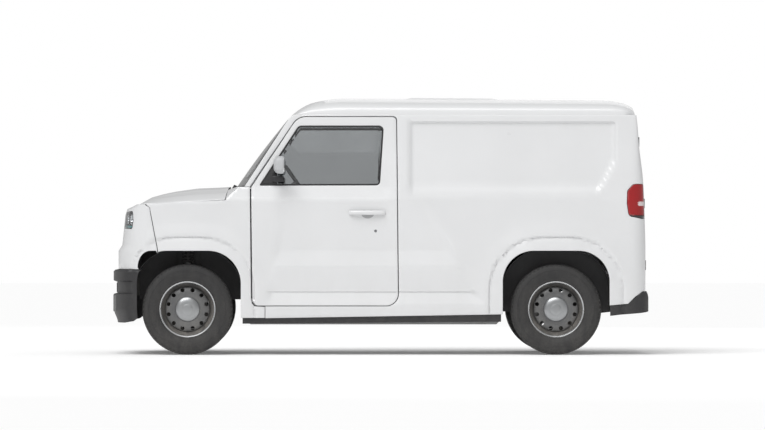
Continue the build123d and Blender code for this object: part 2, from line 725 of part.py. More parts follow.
def make_arch_liners():
    """The four liners inside the wheel arches."""
    front = make_arch_liner(
        FRONT_AXLE_X, TOWER_Y - 112, FACE_X + 150, FAR, SILL_HEIGHT + 130,
    )
    tower_hole = box(
        (FRONT_AXLE_X - 90, FRONT_AXLE_X + 90), (-TOWER_Y - 70, 0), (SILL_HEIGHT, FAR),
    )
    rear = make_arch_liner(REAR_AXLE_X, WHEEL_INNER_Y - 40, -FAR, FAR, SILL_HEIGHT + 45)
    rear_hole = box(
        (REAR_AXLE_X - 110, REAR_AXLE_X + 110), (-WHEEL_INNER_Y + 20, 0), (0, AXLE_Z + 160),
    )
    return both_sides((front - tower_hole) + (rear - rear_hole))


# ---- steering ----
SEAT_Y = -(HALF_WIDTH - 100) / 2
COLUMN_LEAN = radians(35)
WHEEL_CENTRE = (DOOR_X0 + 336, SEAT_Y, BELT_HEIGHT + 7)
STEERING_RADIUS = 185.0


def along_column(distance):
    """A point on the column, below the steering wheel's centre."""
    x, y, z = WHEEL_CENTRE
    return (x - distance * cos(COLUMN_LEAN), y, z - distance * sin(COLUMN_LEAN))


COLUMN_TOP = along_column(52)
COLUMN_FOOT = along_column(520)


def make_steering_column():
    """The column's jacket with its stalks; the shaft ends ahead of the firewall."""
    jacket = rod(along_column(44), along_column(330), 30)
    shaft = rod(along_column(320), COLUMN_FOOT, 11)
    x, y, z = along_column(75)
    stalks = rod((x, y - 130, z + 20), (x, y + 130, z + 20), 6)
    return jacket + shaft + stalks


def make_steering_wheel():
    """The steering wheel: rim, hub and spokes, square to its column."""
    plane = Plane(origin=WHEEL_CENTRE, x_dir=(0, 1, 0), z_dir=Vector(*WHEEL_CENTRE) - Vector(*COLUMN_FOOT))
    rim = plane * Torus(STEERING_RADIUS - 14, 14)
    hub = plane * (Pos(0, 0, -22) * Cylinder(52, 34))
    spokes = [plane * (Rot(0, 0, angle) * (Pos(105, 0, -12) * Box(125, 34, 12))) for angle in (0, 180, 270)]
    return rim + hub + spokes[0] + spokes[1] + spokes[2]


def make_rack():
    """The sliding rack with a ball end on each side."""
    end = TOWER_Y - 70
    bar = rod((RACK_X, -end, RACK_Z), (RACK_X, end, RACK_Z), 12)
    balls = both_sides(Pos(RACK_X, -end, RACK_Z) * Sphere(18))
    return bar + balls


def make_dashboard():
    """The dashboard across the cabin, with its instrument hood."""
    body = outline([
        (DOOR_X0 - 42, BELT_HEIGHT - 60),
        (DOOR_X0 - 42, BELT_HEIGHT - 16),
        (DOOR_X0 + 150, BELT_HEIGHT + 12, 40),
        (DOOR_X0 + 215, BELT_HEIGHT - 60, 50),
        (DOOR_X0 + 180, BELT_HEIGHT - 260, 30),
        (DOOR_X0 + 40, BELT_HEIGHT - 300, 30),
    ])
    half = HALF_WIDTH - 136
    block = prism_y(body, -half, half)
    tunnel = rod(along_column(0), along_column(520), 42)
    return block - tunnel


# ---- wheels and suspension ----
def about_wheel(axle_x, shape):
    """Put a wheel piece drawn about the Z axis, outside face up, on the left end of an axle."""
    return Pos(axle_x, -WHEEL_Y, AXLE_Z) * (Rot(90, 0, 0) * shape)


def ring(points):
    """A solid turned about the Z axis from (radius, height) corners."""
    plane = Plane(origin=(0, 0, 0), x_dir=(1, 0, 0), z_dir=(0, -1, 0))
    return revolve(plane * outline(points), axis=Axis.Z)


def make_tyre():
    """A tyre turned about its own axis, with three grooves round its tread."""
    half = TYRE_WIDTH / 2
    bulge = RIM_SEAT_RADIUS + 0.45 * (TYRE_RADIUS - RIM_SEAT_RADIUS)
    tyre = ring([
        (RIM_SEAT_RADIUS, -half + 24),
        (RIM_FLANGE_RADIUS + 3, -half + 23.5),
        (bulge, -half, 30),
        (TYRE_RADIUS - 16, -half + 10, 12),
        (TYRE_RADIUS, -half + 28),
        (TYRE_RADIUS, half - 28),
        (TYRE_RADIUS - 16, half - 10, 12),
        (bulge, half, 30),
        (RIM_FLANGE_RADIUS + 3, half - 23.5),
        (RIM_SEAT_RADIUS, half - 24),
    ])
    for groove in (-30, 0, 30):
        tyre -= ring([
            (TYRE_RADIUS - 7, groove - 4), (TYRE_RADIUS + 5, groove - 4),
            (TYRE_RADIUS + 5, groove + 4), (TYRE_RADIUS - 7, groove + 4),
        ])
    return tyre


def make_rim():
    """A pressed steel wheel: barrel, dished disc with twelve round holes, and a bore for the hub."""
    half = TYRE_WIDTH / 2
    seat = RIM_SEAT_RADIUS
    barrel = ring([
        (seat, -half + 23), (RIM_FLANGE_RADIUS, -half + 23), (RIM_FLANGE_RADIUS, -half + 15),
        (seat - 6, -half + 15), (seat - 20, -half + 34), (seat - 20, half - 34),
        (seat - 6, half - 15), (RIM_FLANGE_RADIUS, half - 15), (RIM_FLANGE_RADIUS, half - 23),
        (seat, half - 23),
    ])
    disc = ring([
        (AXLE_STUB_RADIUS + RUNNING_GAP, 26), (seat - 70, 34), (seat - 40, 46), (seat - 19, 34),
        (seat - 19, 28), (seat - 42, 39), (seat - 70, 27), (AXLE_STUB_RADIUS + RUNNING_GAP, 19),
    ])
    wheel = barrel + disc
    for count in range(12):
        hole = Rot(0, 0, 15 + 30 * count) * (Pos(seat - 38, 0, 40) * Cylinder(13.5, 40))
        wheel -= hole
    return wheel


def make_hub_cap():
    """The domed cap that covers a wheel's centre."""
    return ring([(0, 54), (60, 50), (88, 40), (90, 36), (86, 36), (60, 41), (0, 45)])


def make_wheel_pieces(axle_x):
    """A left wheel's tyre, rim and hub cap, in place on an axle."""
    return {
        "tyre": about_wheel(axle_x, make_tyre()),
        "rim": about_wheel(axle_x, make_rim()),
        "hub_cap": about_wheel(axle_x, make_hub_cap()),
    }


STRUT_TOP = (FRONT_AXLE_X, -TOWER_Y, TOWER_Z)
STRUT_FOOT = (FRONT_AXLE_X, -TOWER_Y - 30, AXLE_Z + 145)


def strut_point(share):
    """A point on the strut's line, from its foot at 0 to its top at 1."""
    return tuple(low + (high - low) * share for low, high in zip(STRUT_FOOT, STRUT_TOP))


def make_strut_rod():
    """The left front strut's rod, held in the tower."""
    plate = rod(strut_point(0.92), strut_point(0.97), 40)
    return rod(strut_point(0.28), strut_point(0.96), 10) + plate


def make_knuckle():
    """The damper tube, upright, stub axle, brake drum and steering arm."""
    damper = tube(strut_point(-0.05), strut_point(0.62), 24, 10 + RUNNING_GAP)
    damper += rod(strut_point(-0.12), strut_point(-0.02), 24)
    seat = tube(strut_point(0.42), strut_point(0.44), 38, 22)
    inner = -WHEEL_INNER_Y
    upright = box(
        (FRONT_AXLE_X - 24, FRONT_AXLE_X + 24), (inner + 10, inner + 34), (AXLE_Z - 105, AXLE_Z + 150),
    )
    stub = rod((FRONT_AXLE_X, inner + 12, AXLE_Z), (FRONT_AXLE_X, -WHEEL_Y - 34, AXLE_Z), AXLE_STUB_RADIUS)
    drum = rod((FRONT_AXLE_X, inner - 4, AXLE_Z), (FRONT_AXLE_X, -WHEEL_Y - 12, AXLE_Z), 112)
    back = rod((FRONT_AXLE_X, inner + 12, AXLE_Z), (FRONT_AXLE_X, inner - 6, AXLE_Z), 70)
    arm = box((FRONT_AXLE_X, RACK_X + 12), (inner + 14, inner + 34), (RACK_Z - 10, RACK_Z + 10))
    return damper + seat + upright + stub + drum + back + arm


def make_rear_axle():
    """Tube axle with a drive motor ahead of it, drums and stubs at its ends."""
    inner = WHEEL_INNER_Y
    beam = rod((REAR_AXLE_X, -inner + 4, AXLE_Z), (REAR_AXLE_X, inner - 4, AXLE_Z), 38)
    motor_x = REAR_AXLE_X - 150
    motor = rod((motor_x, -170, AXLE_Z + 10), (motor_x, 150, AXLE_Z + 10), 105)
    gearcase = box((motor_x - 60, REAR_AXLE_X + 70), (-60, 60), (AXLE_Z - 70, AXLE_Z + 80))
    gearcase = fillet(gearcase.edges().filter_by(Axis.Y), 40)
    ends = both_sides(
        rod((REAR_AXLE_X, -inner + 14, AXLE_Z), (REAR_AXLE_X, -WHEEL_Y - 34, AXLE_Z), AXLE_STUB_RADIUS)
        + rod((REAR_AXLE_X, -inner + 6, AXLE_Z), (REAR_AXLE_X, -WHEEL_Y - 12, AXLE_Z), 112)
    )
    seats = both_sides(rod((REAR_AXLE_X, -SPRING_Y, AXLE_Z), (REAR_AXLE_X, -SPRING_Y, AXLE_Z + 46), 55))
    return beam + motor + gearcase + ends + seats


SPRING_Y = HALF_WIDTH - 350.0


def make_rear_springs():
    """One coil spring above each end of the rear axle."""
    low = AXLE_Z + 46 + 6.5
    high = CARGO_FLOOR_HEIGHT - 125 - 6.5
    helix = Helix(pitch=(high - low) / 4.5, height=high - low, radius=42)
    section = Plane(origin=helix @ 0, z_dir=helix % 0) * Circle(6)
    coil = sweep(section, path=helix)
    return both_sides(Pos(REAR_AXLE_X, -SPRING_Y, low) * coil)


# ---- cabin ----
def make_seat_base(y):
    """A seat's cushion, pedestal and rails as one piece."""
    cushion = box((DOOR_X0 + 336, DOOR_X0 + 816), (y - 230, y + 230),
                  (CABIN_FLOOR_HEIGHT + 215, CABIN_FLOOR_HEIGHT + 335))
    cushion = fillet(cushion.edges(), 40)
    plinth = box((DOOR_X0 + 370, DOOR_X0 + 790), (y - 190, y + 190),
                 (CABIN_FLOOR_HEIGHT + RUNNING_GAP, CABIN_FLOOR_HEIGHT + 225))
    return cushion + plinth


def make_seat_back(y):
    """Back and head rest, leaning 10 degrees from a pivot at the cushion's rear."""
    pad = box((0, 110), (-225, 225), (8, 560))
    pad = fillet(pad.edges(), 40)
    rest = box((10, 90), (-125, 125), (600, 760))
    rest = fillet(rest.edges(), 30)
    posts = [rod((50, side, 540), (50, side, 640), 7) for side in (-60, 60)]
    back = (pad + rest + posts[0] + posts[1]).rotate(Axis.Y, 10)
    return Pos(DOOR_X0 + 806, y, CABIN_FLOOR_HEIGHT + 335) * back


def make_pedal(y, width):
    """A hanging pedal: pivot sleeve, arm and pad."""
    top = (FIREWALL_X + 75, y, CABIN_FLOOR_HEIGHT + 270)
    foot = (FIREWALL_X + 105, y, CABIN_FLOOR_HEIGHT + 90)
    sleeve = rod((top[0], y - 22, top[2]), (top[0], y + 22, top[2]), 10)
    arm = rod(top, foot, 7)
    pad = box((foot[0], foot[0] + 12), (y - width, y + width), (foot[2] - 40, foot[2] + 40))
    return sleeve + arm + pad


def pedal_bracket(y):
    """A pivot for one pedal, held by the firewall."""
    top_x = FIREWALL_X + 75
    z = CABIN_FLOOR_HEIGHT + 270
    cheeks = [
        box((FIREWALL_X + 20, top_x + 14), (y + side - 3, y + side + 3), (z - 16, z + 20))
        for side in (-27, 27)
    ]
    return cheeks[0] + cheeks[1]


WIPER_X = BONNET_REAR_X + 24
WIPER_Z = BELT_HEIGHT + 2
WIPER_Y = (-HALF_WIDTH + 432, HALF_WIDTH - 582)
SCREEN_LEAN = atan2(317, HEADER_Z - BELT_HEIGHT)


def make_wiper(y):
    """Arm and blade, parked along the foot of the windscreen."""
    plane = Plane(
        origin=(WIPER_X, y, WIPER_Z), x_dir=(0, 1, 0), z_dir=(-cos(SCREEN_LEAN), 0, sin(SCREEN_LEAN)),
    )
    boss = plane * Cylinder(14, 16)
    arm = plane * (Pos(150, -4, 4) * Box(290, 10, 5))
    blade = plane * (Pos(230, -12, 2) * Box(400, 8, 9))
    return boss + arm + blade


def build():
    """Every piece of the vehicle by its name."""
    sides = {"left": lambda shape: shape, "right": mirrored}
    head_lamps, tail_lamps = make_lamps()
    brackets = pedal_bracket(SEAT_Y + 60) + pedal_bracket(SEAT_Y + 160)
    front_bumper = make_front_bumper()
    windscreen = make_windscreen()
    fender = make_fender()
    pieces = {
        "underbody": make_underbody() + brackets,
        "chassis_frame": make_chassis(),
        "battery_pack": make_battery(),
        "roof_panel": make_roof(),
        "bulkhead": make_bulkhead(),
        "nose_panel": make_nose_panel(),
        "front_bumper": front_bumper,
        "rear_bumper": make_bumper(rear_bumper_face),
        "windscreen": windscreen,
        "head_lamps": head_lamps,
        "tail_lamps": tail_lamps,
        "arch_liners": make_arch_liners() - front_bumper,
        "dashboard": make_dashboard(),
        "steering_column": make_steering_column(),
        "steering_wheel": make_steering_wheel(),
        "steering_rack": make_rack(),
        "bonnet": make_bonnet(),
        "rear_door_handle": make_rear_handle(),
        "rear_axle": make_rear_axle(),
        "rear_springs": make_rear_springs(),
        "brake_pedal": make_pedal(SEAT_Y + 60, 32),
        "accelerator_pedal": make_pedal(SEAT_Y + 160, 22),
        "wiper_left": make_wiper(WIPER_Y[0]),
        "wiper_right": make_wiper(WIPER_Y[1]),
    }
    left_pieces = {
        "body_side": make_body_side() - fender - windscreen,
        "fender": fender,
        "door_shell": make_door(),
        "door_trim": make_door_trim(),
        "door_glass": make_door_glass(),
        "door_handle": make_door_handle(),
        "mirror": make_mirror(),
        "rear_door": make_rear_door(),
        "strut_rod": make_strut_rod(),
        "knuckle": make_knuckle(),
    }
    for end, axle_x in (("front", FRONT_AXLE_X), ("rear", REAR_AXLE_X)):
        for name, shape in make_wheel_pieces(axle_x).items():
            left_pieces[end + "_" + name] = shape
    for side, place in sides.items():
        for name, shape in left_pieces.items():
            pieces[name + "_" + side] = place(shape)
    for name, y in (("driver", SEAT_Y), ("passenger", -SEAT_Y)):
        pieces[name + "_seat_base"] = make_seat_base(y)
        pieces[name + "_seat_back"] = make_seat_back(y)
    return pieces


if __name__ == "__main__":
    os.makedirs("parts", exist_ok=True)
    for piece_name, piece in build().items():
        save(piece_name, piece)
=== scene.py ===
"""A small white delivery van: its looks, in metres, +Z up, front at -X, left side at -Y."""
import json
import logging
import math
from dataclasses import dataclass, field
from enum import Enum
from typing import Callable, Sequence

import bmesh
import bpy
import numpy as np
from mathutils import Matrix, Vector, geometry


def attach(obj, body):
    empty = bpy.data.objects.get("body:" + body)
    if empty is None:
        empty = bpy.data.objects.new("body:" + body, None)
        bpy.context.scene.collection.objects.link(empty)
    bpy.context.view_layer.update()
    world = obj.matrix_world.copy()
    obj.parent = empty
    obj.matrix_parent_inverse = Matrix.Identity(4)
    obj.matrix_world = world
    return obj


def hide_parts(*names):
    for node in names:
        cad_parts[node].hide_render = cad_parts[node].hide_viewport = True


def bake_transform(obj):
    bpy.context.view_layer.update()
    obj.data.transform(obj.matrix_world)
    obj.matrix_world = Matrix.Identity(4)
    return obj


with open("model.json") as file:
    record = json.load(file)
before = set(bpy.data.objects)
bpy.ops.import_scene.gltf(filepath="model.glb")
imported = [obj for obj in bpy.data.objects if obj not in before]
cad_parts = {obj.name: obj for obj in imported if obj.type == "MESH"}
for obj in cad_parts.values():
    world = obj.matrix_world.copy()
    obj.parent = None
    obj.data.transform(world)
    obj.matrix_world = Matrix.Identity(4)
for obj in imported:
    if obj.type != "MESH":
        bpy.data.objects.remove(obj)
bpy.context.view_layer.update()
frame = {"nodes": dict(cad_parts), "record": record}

LOG = logging.getLogger("van")
Point2 = tuple[float, float]
Surface = Callable[[float, float], Vector]


# ---- node graphs ----
@dataclass
class Graph:
    """Short ways to add and join nodes in one tree."""

    tree: bpy.types.NodeTree

    def add(self, kind: str, inputs: dict | None = None, **attributes) -> bpy.types.Node:
        """Adds a node, sets its attributes, then its inputs by a value or by joining a socket.

        Args:
            kind: the node's type name.
            inputs: values or output sockets, by input name or index.
            attributes: plain attributes of the node.

        Returns:
            The new node.
        """
        node = self.tree.nodes.new(kind)
        for name, value in attributes.items():
            setattr(node, name, value)
        for name, value in (inputs or {}).items():
            if isinstance(value, bpy.types.NodeSocket):
                self.tree.links.new(value, node.inputs[name])
            else:
                node.inputs[name].default_value = value
        return node

    def math(self, operation: str, first, second=0.0, clamp: bool = False) -> bpy.types.NodeSocket:
        """One arithmetic step on two values or sockets."""
        node = self.add("ShaderNodeMath", {0: first, 1: second}, operation=operation, use_clamp=clamp)
        return node.outputs[0]

    def blend(self, mask, first, second) -> bpy.types.NodeSocket:
        """A colour that runs from first to second as mask goes from 0 to 1."""
        node = self.add("ShaderNodeMix", data_type="RGBA")
        for index, value in ((0, mask), (6, first), (7, second)):
            if isinstance(value, bpy.types.NodeSocket):
                self.tree.links.new(value, node.inputs[index])
            else:
                node.inputs[index].default_value = value
        return node.outputs[2]

    def spread(self, value, low: float, high: float, to_low: float, to_high: float) -> bpy.types.NodeSocket:
        """Maps a value from one range to another, clamped."""
        node = self.add("ShaderNodeMapRange", {0: value, 1: low, 2: high, 3: to_low, 4: to_high})
        return node.outputs[0]


def new_group(name: str, inputs: Sequence[tuple], outputs: Sequence[tuple]) -> tuple[Graph, object, object]:
    """Starts a shader node group.

    Args:
        name: the group's name.
        inputs: pairs of socket name and socket type.
        outputs: pairs of socket name and socket type.

    Returns:
        The graph, its input node and its output node.
    """
    tree = bpy.data.node_groups.new(name, "ShaderNodeTree")
    for label, kind in inputs:
        tree.interface.new_socket(label, in_out="INPUT", socket_type=kind)
    for label, kind in outputs:
        tree.interface.new_socket(label, in_out="OUTPUT", socket_type=kind)
    graph = Graph(tree)
    return graph, graph.add("NodeGroupInput"), graph.add("NodeGroupOutput")


FLOAT, COLOUR, VECTOR = "NodeSocketFloat", "NodeSocketColor", "NodeSocketVector"


def grain_group() -> bpy.types.NodeTree:
    """Fine height and slow blotches, shared by every moulded or painted finish.

    Returns:
        The group, with a height and a blotch value as outputs.
    """
    graph, given, out = new_group(
        "surface_grain",
        [("Vector", VECTOR), ("Scale", FLOAT), ("Blotch Scale", FLOAT)],
        [("Height", FLOAT), ("Blotch", FLOAT)],
    )
    fine = graph.add("ShaderNodeTexNoise", {
        "Vector": given.outputs["Vector"], "Scale": given.outputs["Scale"], "Detail": 4.0, "Roughness": 0.65,
    })
    blotch = graph.add("ShaderNodeTexNoise", {
        "Vector": given.outputs["Vector"], "Scale": given.outputs["Blotch Scale"], "Detail": 3.0,
    })
    graph.tree.links.new(fine.outputs[0], out.inputs["Height"])
    graph.tree.links.new(blotch.outputs[0], out.inputs["Blotch"])
    return graph.tree


def dust_group() -> bpy.types.NodeTree:
    """Road dust that thickens towards the ground, broken up by streaks and spots.

    Returns:
        The group, with a colour and a mask as outputs.
    """
    graph, given, out = new_group(
        "road_dust",
        [("Vector", VECTOR), ("Colour", COLOUR), ("Dust", COLOUR), ("Amount", FLOAT), ("Top", FLOAT)],
        [("Colour", COLOUR), ("Mask", FLOAT)],
    )
    parts = graph.add("ShaderNodeSeparateXYZ", {0: given.outputs["Vector"]})
    low = graph.add("ShaderNodeMapRange", {0: parts.outputs[2], 1: 0.15, 2: given.outputs["Top"], 3: 1.0, 4: 0.0})
    stretched = graph.add("ShaderNodeMapping", {"Vector": given.outputs["Vector"], "Scale": (9.0, 9.0, 3.0)})
    streak = graph.add("ShaderNodeTexNoise", {"Vector": stretched.outputs[0], "Scale": 2.0, "Detail": 5.0})
    spots = graph.add("ShaderNodeTexNoise", {"Vector": given.outputs["Vector"], "Scale": 90.0, "Detail": 3.0})
    broken = graph.math("MULTIPLY", low.outputs[0], graph.spread(streak.outputs[0], 0.3, 0.7, 0.25, 1.0))
    speckled = graph.math("MULTIPLY", broken, graph.spread(spots.outputs[0], 0.35, 0.6, 0.6, 1.0))
    mask = graph.math("MULTIPLY", speckled, given.outputs["Amount"], clamp=True)
    graph.tree.links.new(mask, out.inputs["Mask"])
    graph.tree.links.new(graph.blend(mask, given.outputs["Colour"], given.outputs["Dust"]), out.inputs["Colour"])
    return graph.tree


def ring_group() -> bpy.types.NodeTree:
    """Turned or brushed rings round the Y axis through a centre, as a height.

    Returns:
        The group, with a height as its output.
    """
    graph, given, out = new_group(
        "turned_rings",
        [("Vector", VECTOR), ("Centre X", FLOAT), ("Centre Z", FLOAT), ("Scale", FLOAT)],
        [("Height", FLOAT)],
    )
    parts = graph.add("ShaderNodeSeparateXYZ", {0: given.outputs["Vector"]})
    across = graph.math("SUBTRACT", parts.outputs[0], given.outputs["Centre X"])
    above = graph.math("SUBTRACT", parts.outputs[2], given.outputs["Centre Z"])
    squares = graph.math("ADD", graph.math("MULTIPLY", across, across), graph.math("MULTIPLY", above, above))
    radius = graph.math("MULTIPLY", graph.math("SQRT", squares), given.outputs["Scale"])
    noise = graph.add("ShaderNodeTexNoise", {"W": radius, "Scale": 1.0, "Detail": 2.0}, noise_dimensions="1D")
    graph.tree.links.new(noise.outputs[0], out.inputs["Height"])
    return graph.tree


def weave_group() -> bpy.types.NodeTree:
    """Over-and-under threads of a woven seat cloth, as a height.

    Returns:
        The group, with a height as its output.
    """
    graph, given, out = new_group("seat_weave", [("Vector", VECTOR), ("Threads", FLOAT)], [("Height", FLOAT)])
    waves = []
    for axis in range(3):
        parts = graph.add("ShaderNodeSeparateXYZ", {0: given.outputs["Vector"]})
        turned = graph.math("MULTIPLY", parts.outputs[axis], given.outputs["Threads"])
        waves.append(graph.math("SINE", turned))
    crossed = graph.math("MULTIPLY", waves[0], waves[1])
    height = graph.math("ADD", crossed, graph.math("MULTIPLY", waves[1], waves[2]))
    height = graph.math("ADD", height, graph.math("MULTIPLY", waves[0], waves[2]))
    graph.tree.links.new(height, out.inputs["Height"])
    return graph.tree


class Pattern(Enum):
    """What kind of fine surface a finish has."""

    MOULDED = "moulded"
    BRUSHED = "brushed"
    WOVEN = "woven"
    GLAZED = "glazed"


DUST = (0.42, 0.39, 0.35, 1.0)


@dataclass(frozen=True)
class Finish:
    """One finish and how its material is made."""

    name: str
    colour: tuple[float, float, float]
    slot: str
    roughness: float = 0.4
    metallic: float = 0.0
    coat: float = 0.0
    grain: float = 400.0
    bump: float = 0.05
    variation: float = 0.06
    dust: float = 0.25
    dust_top: float = 1.0
    transmission: float = 0.0
    sheen: float = 0.0
    pattern: Pattern = Pattern.MOULDED
    centre: Point2 = (0.0, 0.0)

    def build(self, groups: dict[str, bpy.types.NodeTree]) -> bpy.types.Material:
        """Makes the material from the shared groups.

        Args:
            groups: the shader node groups by short name.

        Returns:
            The finished material.
        """
        material = bpy.data.materials.new(self.name)
        material.use_nodes = True
        graph = Graph(material.node_tree)
        shader = material.node_tree.nodes["Principled BSDF"]
        place = graph.add("ShaderNodeTexCoord").outputs["Object"]
        grain = graph.add("ShaderNodeGroup", node_tree=groups["grain"])
        for socket, value in (("Scale", self.grain), ("Blotch Scale", 3.0)):
            grain.inputs[socket].default_value = value
        graph.tree.links.new(place, grain.inputs["Vector"])
        height = self.height(graph, groups, place, grain)
        colour = self.tinted(graph, grain)
        dust = graph.add("ShaderNodeGroup", node_tree=groups["dust"])
        graph.tree.links.new(place, dust.inputs["Vector"])
        graph.tree.links.new(colour, dust.inputs["Colour"])
        for socket, value in (("Dust", DUST), ("Amount", self.dust), ("Top", self.dust_top)):
            dust.inputs[socket].default_value = value
        graph.tree.links.new(dust.outputs["Colour"], shader.inputs["Base Color"])
        base = graph.spread(grain.outputs["Blotch"], 0.3, 0.7, self.roughness * 0.85, self.roughness * 1.15)
        dulled = graph.math("MULTIPLY", dust.outputs["Mask"], 0.5)
        graph.tree.links.new(graph.math("ADD", base, dulled, clamp=True), shader.inputs["Roughness"])
        bump = graph.add("ShaderNodeBump", {"Height": height, "Strength": self.bump, "Distance": 0.001})
        graph.tree.links.new(bump.outputs[0], shader.inputs["Normal"])
        shader.inputs["Metallic"].default_value = self.metallic
        shader.inputs["Coat Weight"].default_value = self.coat
        shader.inputs["Coat Roughness"].default_value = 0.05
        shader.inputs["Transmission Weight"].default_value = self.transmission
        shader.inputs["Sheen Weight"].default_value = self.sheen
        return material

    def height(self, graph: Graph, groups: dict, place, grain) -> bpy.types.NodeSocket:
        """The fine height that the bump follows.

        Args:
            graph: the material's graph.
            groups: the shared node groups, by name.
            place: the socket that gives the place on the object.
            grain: the grain group's node.

        Returns:
            The height's socket.
        """
        if self.pattern is Pattern.BRUSHED:
            rings = graph.add("ShaderNodeGroup", node_tree=groups["rings"])
            graph.tree.links.new(place, rings.inputs["Vector"])
            for socket, value in (("Centre X", self.centre[0]), ("Centre Z", self.centre[1]), ("Scale", 900.0)):
                rings.inputs[socket].default_value = value
            return rings.outputs["Height"]
        if self.pattern is Pattern.WOVEN:
            weave = graph.add("ShaderNodeGroup", node_tree=groups["weave"])
            graph.tree.links.new(place, weave.inputs["Vector"])
            weave.inputs["Threads"].default_value = self.grain
            return weave.outputs["Height"]
        return grain.outputs["Height"]

    def tinted(self, graph: Graph, grain) -> bpy.types.NodeSocket:
        """The base colour with its slow variation."""
        darker = tuple(c * (1.0 - self.variation) for c in self.colour) + (1.0,)
        lighter = tuple(min(c * (1.0 + self.variation), 1.0) for c in self.colour) + (1.0,)
        mask = graph.spread(grain.outputs["Blotch"], 0.3, 0.7, 0.0, 1.0)
        return graph.blend(mask, darker, lighter)


FRONT_HUB, REAR_HUB = (-1.378, 0.325), (1.252, 0.325)
FINISHES = [
    Finish("white_paint", (0.700, 0.705, 0.712), "body_white", 0.32, coat=0.5, grain=700, bump=0.015,
           variation=0.012, dust=0.10, dust_top=0.9),
    Finish("roof_paint", (0.720, 0.725, 0.732), "body_white", 0.36, coat=0.4, grain=700, bump=0.02,
           variation=0.012, dust=0.0),
    Finish("gloss_black", (0.012, 0.012, 0.013), "black_plastic", 0.16, coat=0.4, bump=0.01, dust=0.05),
    Finish("seal_rubber", (0.016, 0.016, 0.017), "black_plastic", 0.6, grain=900, bump=0.1, dust=0.1),
    Finish("black_plastic", (0.020, 0.020, 0.022), "black_plastic", 0.50, grain=1300, bump=0.25, dust=0.06),
    Finish("frame_black", (0.02, 0.02, 0.021), "frame_black", 0.5, grain=300, bump=0.2, dust=0.5, dust_top=0.7),
    Finish("battery_case", (0.32, 0.33, 0.34), "battery_case", 0.42, metallic=0.7, grain=250, bump=0.2,
           dust=0.6, dust_top=0.5),
    Finish("tinted_glass", (0.70, 0.72, 0.73), "tinted_glass", 0.02, grain=5.0, bump=0.004, variation=0.03,
           dust=0.0, transmission=1.0, pattern=Pattern.GLAZED),
    Finish("screen_glass", (0.70, 0.73, 0.73), "tinted_glass", 0.02, grain=5.0, bump=0.004, variation=0.03,
           dust=0.0, transmission=1.0, pattern=Pattern.GLAZED),
    Finish("clear_lens", (0.93, 0.94, 0.95), "clear_lens", 0.03, grain=120.0, bump=0.02, variation=0.01,
           dust=0.04, transmission=1.0, pattern=Pattern.GLAZED),
    Finish("red_lens", (0.30, 0.006, 0.008), "red_lens", 0.10, coat=0.6, grain=120.0, bump=0.05,
           variation=0.10, dust=0.05),
    Finish("lamp_chrome", (0.82, 0.83, 0.84), "clear_lens", 0.12, metallic=1.0, grain=200.0, bump=0.03, dust=0.0),
    Finish("lamp_teal", (0.10, 0.42, 0.42), "clear_lens", 0.15, coat=0.5, grain=200.0, bump=0.03, dust=0.0),
    Finish("tyre_rubber", (0.014, 0.014, 0.015), "tyre_rubber", 0.62, grain=600, bump=0.35, variation=0.15,
           dust=0.10, dust_top=0.9),
    Finish("wheel_steel", (0.115, 0.118, 0.122), "wheel_steel", 0.38, metallic=0.55, grain=500, bump=0.08,
           variation=0.08, dust=0.30, dust_top=0.8),
    Finish("flange_steel", (0.72, 0.73, 0.74), "wheel_steel", 0.25, metallic=0.8, grain=500, bump=0.05,
           variation=0.05, dust=0.15, dust_top=0.8),
    Finish("front_cap_metal", (0.36, 0.37, 0.38), "cap_metal", 0.30, metallic=0.9, bump=0.12, dust=0.15,
           pattern=Pattern.BRUSHED, centre=FRONT_HUB),
    Finish("rear_cap_metal", (0.36, 0.37, 0.38), "cap_metal", 0.30, metallic=0.9, bump=0.12, dust=0.15,
           pattern=Pattern.BRUSHED, centre=REAR_HUB),
    Finish("trim_grey", (0.16, 0.165, 0.17), "trim_grey", 0.6, grain=1200, bump=0.25, dust=0.1),
    Finish("mirror_shell", (0.47, 0.48, 0.49), "mirror_shell", 0.42, grain=1100, bump=0.12, dust=0.0),
    Finish("mirror_glass", (0.88, 0.89, 0.90), "mirror_shell", 0.02, metallic=1.0, grain=5.0, bump=0.002,
           variation=0.01, dust=0.0),
    Finish("bumper_insert", (0.085, 0.087, 0.09), "black_plastic", 0.45, grain=900, bump=0.1, dust=0.15),
    Finish("pale_lens", (0.70, 0.62, 0.62), "red_lens", 0.15, coat=0.5, grain=120.0, bump=0.05, dust=0.05),
    Finish("cup_grey", (0.40, 0.405, 0.41), "body_white", 0.4, grain=900, bump=0.05, dust=0.0),
    Finish("seat_cloth", (0.055, 0.06, 0.068), "seat_fabric", 0.85, grain=2600, bump=0.6, variation=0.12,
           dust=0.0, sheen=0.35, pattern=Pattern.WOVEN),
    Finish("seat_piping", (0.03, 0.032, 0.036), "seat_fabric", 0.6, grain=900, bump=0.2, dust=0.0, sheen=0.2),
    Finish("cast_parts", (0.22, 0.225, 0.23), "cast_parts", 0.55, metallic=0.8, grain=220, bump=0.4, dust=0.5,
           dust_top=0.8),
    Finish("spring_steel", (0.05, 0.05, 0.052), "spring_steel", 0.38, metallic=0.5, grain=300, bump=0.1,
           dust=0.4),
    Finish("wheel_rim_grip", (0.02, 0.02, 0.021), "wheel_rim_grip", 0.5, grain=1500, bump=0.3, dust=0.0),
]
MATERIALS: dict[str, bpy.types.Material] = {}


def build_materials() -> None:
    """Makes every finish once."""
    groups = {"grain": grain_group(), "dust": dust_group(), "rings": ring_group(), "weave": weave_group()}
    for finish in FINISHES:
        MATERIALS[finish.name] = finish.build(groups)


